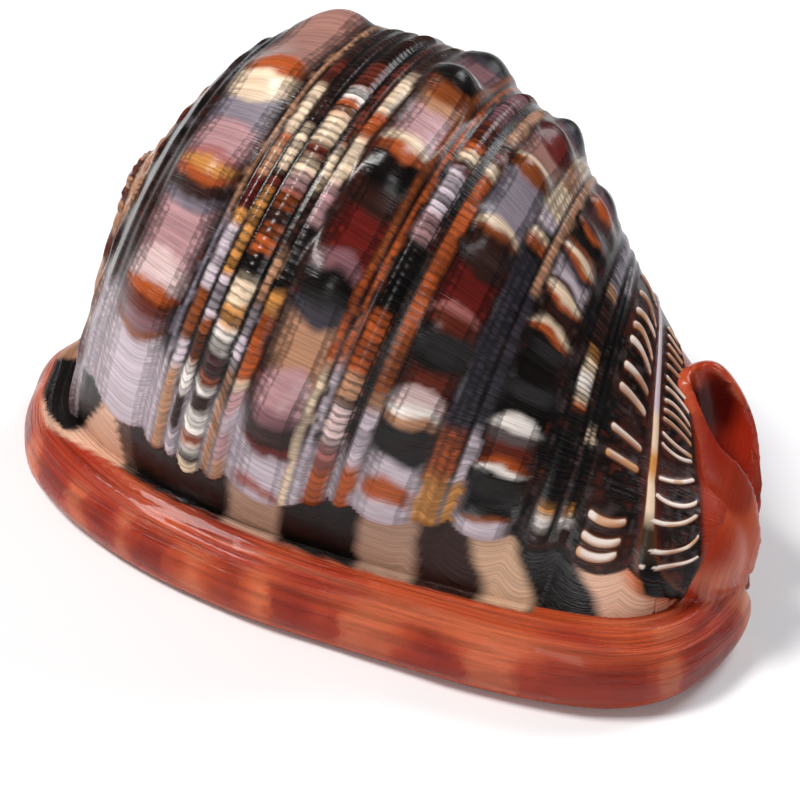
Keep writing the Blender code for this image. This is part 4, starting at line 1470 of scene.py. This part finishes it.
class SHELL_OT_whorl(bpy.types.Operator):
    """Models the sculpted body whorl with its chamber and colours its rows of knobs"""

    bl_idname = "helmet.whorl"
    bl_label = "Body whorl"

    def execute(self, context):
        looks = context.scene.helmet_looks
        whole = shape_whorl(looks.rows_around, looks.rings)
        cuts = [shape_chamber(), shape_aperture(), shape_channel()]
        piece = combined(whole, "body_whorl", [], cuts)
        points = mesh_points(piece.data)
        place, turn = skin_places(points)
        around, inward, _, length = outline_places(points)
        edge = lower_edge(place)
        painted = whorl_colour(place, turn)
        end = fading(points[:, 0], *END_REACH) * (turn < edge)
        painted = mixed(painted, end_patch_colour(around, inward, points[:, 2], length), end)
        inside = smooth_step(skin_depth(points), *INSIDE_DEPTH)
        paint(piece.data, "tint", mixed(painted, "canal_glow", inside))
        paint(piece.data, "line_tint", line_colour(place, turn))
        covered = smooth_step(place, body_end(turn) - 0.6, body_end(turn) + 0.2) * (turn > -4)
        net = smooth_step(turn, edge - 0.4, edge + 0.4) * (0.6 + 0.4 * smooth_step(turn, 0, 12))
        beside = np.min([np.abs(place - row[0]) / row[1] for row in KNOB_ROWS], axis=0)
        net = net * (0.6 + 0.4 * smooth_step(beside, 1.1, 1.4))
        names = ("rib_count", "rib_spacing", "rib_outside", "ridge_offset", "lines_hidden", "net",
                 "row_place", "growth_turn", "groove_count", "groove_gap")
        values = (*rib_places(place, turn), ridge_offset(place, turn), FAR_FROM_RIBS * (inside + covered),
                  net * (1 - inside) * fading(place, 108.5, 110), place, growth_turn(place, turn),
                  *groove_count(place))
        store(piece.data, names, values)
        finish_piece(piece, whorl_material(looks.growth_contrast))
        return {"FINISHED"}


class SHELL_OT_lip(bpy.types.Operator):
    """Models the thick lip, the shield with its toothed slit and the upturned canal as one smooth piece"""

    bl_idname = "helmet.lip"
    bl_label = "Lip, shield and canal"

    def execute(self, context):
        looks = context.scene.helmet_looks
        plate = shape_shield()
        grown = [shape_tube("canal", 0, 0, 0, 0, 72, 60), shape_cheek()]
        cuts = [shape_chamber(), shape_channel(), shape_aperture()]
        whole = combined(plate, "lip_whole", grown, cuts)
        even = whole.modifiers.new("even", "REMESH")
        even.mode = "VOXEL"
        even.voxel_size = VOXEL * METRES
        rounded = whole.modifiers.new("rounded", "SMOOTH")
        rounded.factor = 0.5
        rounded.iterations = ROUNDING_STEPS
        piece = evaluated(whole, "lip_and_canal")
        points = mesh_points(piece.data)
        around, inward, crease, length = outline_places(points)
        normals = np.array([v.normal[:] for v in piece.data.vertices])
        points = points + normals * rim_relief(points, around, inward, crease)[:, None]
        moved = ((points + TO_MIDDLE) * METRES).astype(np.float32)
        piece.data.vertices.foreach_set("co", moved.ravel())
        piece.data.update()
        paint(piece.data, "tint", lip_colour(points, normals, around, inward, crease, length))
        upper = smooth_step(points[:, 2] / crease, 1.1, 1.6)
        lines = (1 - 0.75 * upper) * (1 - 0.5 * smooth_step(inward, 9, 12))
        store(piece.data, ("around", "inward", "lines"), (around, inward, lines))
        finish_piece(piece, lip_material(looks.lip_contrast))
        return {"FINISHED"}


class SHELL_OT_stage(bpy.types.Operator):
    """Adds the camera, the soft lights and a plain pale floor"""

    bl_idname = "helmet.stage"
    bl_label = "Studio"

    def execute(self, context):
        looks = context.scene.helmet_looks
        floor_mesh = bpy.data.meshes.new("floor")
        bm = bmesh.new()
        bmesh.ops.create_grid(bm, x_segments=1, y_segments=1, size=looks.floor_size / 2)
        bm.to_mesh(floor_mesh)
        bm.free()
        floor = placed("floor", floor_mesh)
        paper = bpy.data.materials.new("floor")
        paper.use_nodes = True
        surface = paper.node_tree.nodes["Principled BSDF"]
        surface.inputs["Base Color"].default_value = (*looks.floor_colour, 1)
        surface.inputs["Roughness"].default_value = FLOOR_ROUGHNESS
        floor_mesh.materials.append(paper)
        for name, place, size, power, colour in LIGHTS:
            light = bpy.data.lights.new(name, "AREA")
            light.size = size
            light.energy = power
            light.color = colour
            lamp = placed(name, light)
            lamp.location = place
            lamp.rotation_mode = "QUATERNION"
            lamp.rotation_quaternion = (Vector(LIT_POINT) - Vector(place)).to_track_quat("-Z", "Y")
        world = bpy.data.worlds.new("studio")
        world.use_nodes = True
        sky = world.node_tree.nodes["Background"]
        sky.inputs["Color"].default_value = SKY_COLOUR
        sky.inputs["Strength"].default_value = SKY_STRENGTH
        context.scene.world = world
        context.scene.view_settings.view_transform = "Standard"
        lens = bpy.data.cameras.new("camera")
        lens.lens = looks.lens
        lens.sensor_width = 36.0
        lens.clip_start = 0.01
        camera = placed("camera", lens)
        turn, rise = math.radians(looks.azimuth), math.radians(looks.elevation)
        back = Vector((math.sin(turn) * math.cos(rise), -math.cos(turn) * math.cos(rise), math.sin(rise)))
        level = Vector((math.cos(turn), math.sin(turn), 0))
        up = back.cross(level)
        roll = math.radians(looks.roll)
        right = level * math.cos(roll) + up * math.sin(roll)
        upright = up * math.cos(roll) - level * math.sin(roll)
        way = Matrix((right, upright, back)).transposed()
        camera.matrix_world = Matrix.Translation(looks.eye) @ way.to_4x4()
        context.scene.camera = camera
        return {"FINISHED"}


class SHELL_PT_panel(bpy.types.Panel):
    """Lists the steps that dress the shell"""

    bl_label = "Helmet shell"
    bl_idname = "SHELL_PT_panel"
    bl_space_type = "VIEW_3D"
    bl_region_type = "UI"
    bl_category = "Shell"

    def draw(self, context):
        looks = context.scene.helmet_looks
        for name in ShellLooks.__annotations__:
            self.layout.prop(looks, name)
        for step in STEPS:
            self.layout.operator(step.bl_idname)


STEPS = (SHELL_OT_whorl, SHELL_OT_lip, SHELL_OT_stage)
CLASSES = (ShellLooks, *STEPS, SHELL_PT_panel)


def register():
    for made in CLASSES:
        bpy.utils.register_class(made)
    bpy.types.Scene.helmet_looks = bpy.props.PointerProperty(type=ShellLooks)


def unregister():
    del bpy.types.Scene.helmet_looks
    for made in reversed(CLASSES):
        bpy.utils.unregister_class(made)


def main():
    register()
    bpy.ops.helmet.stage()
    bpy.ops.helmet.whorl()
    bpy.ops.helmet.lip()


if __name__ == "__main__":
    main()
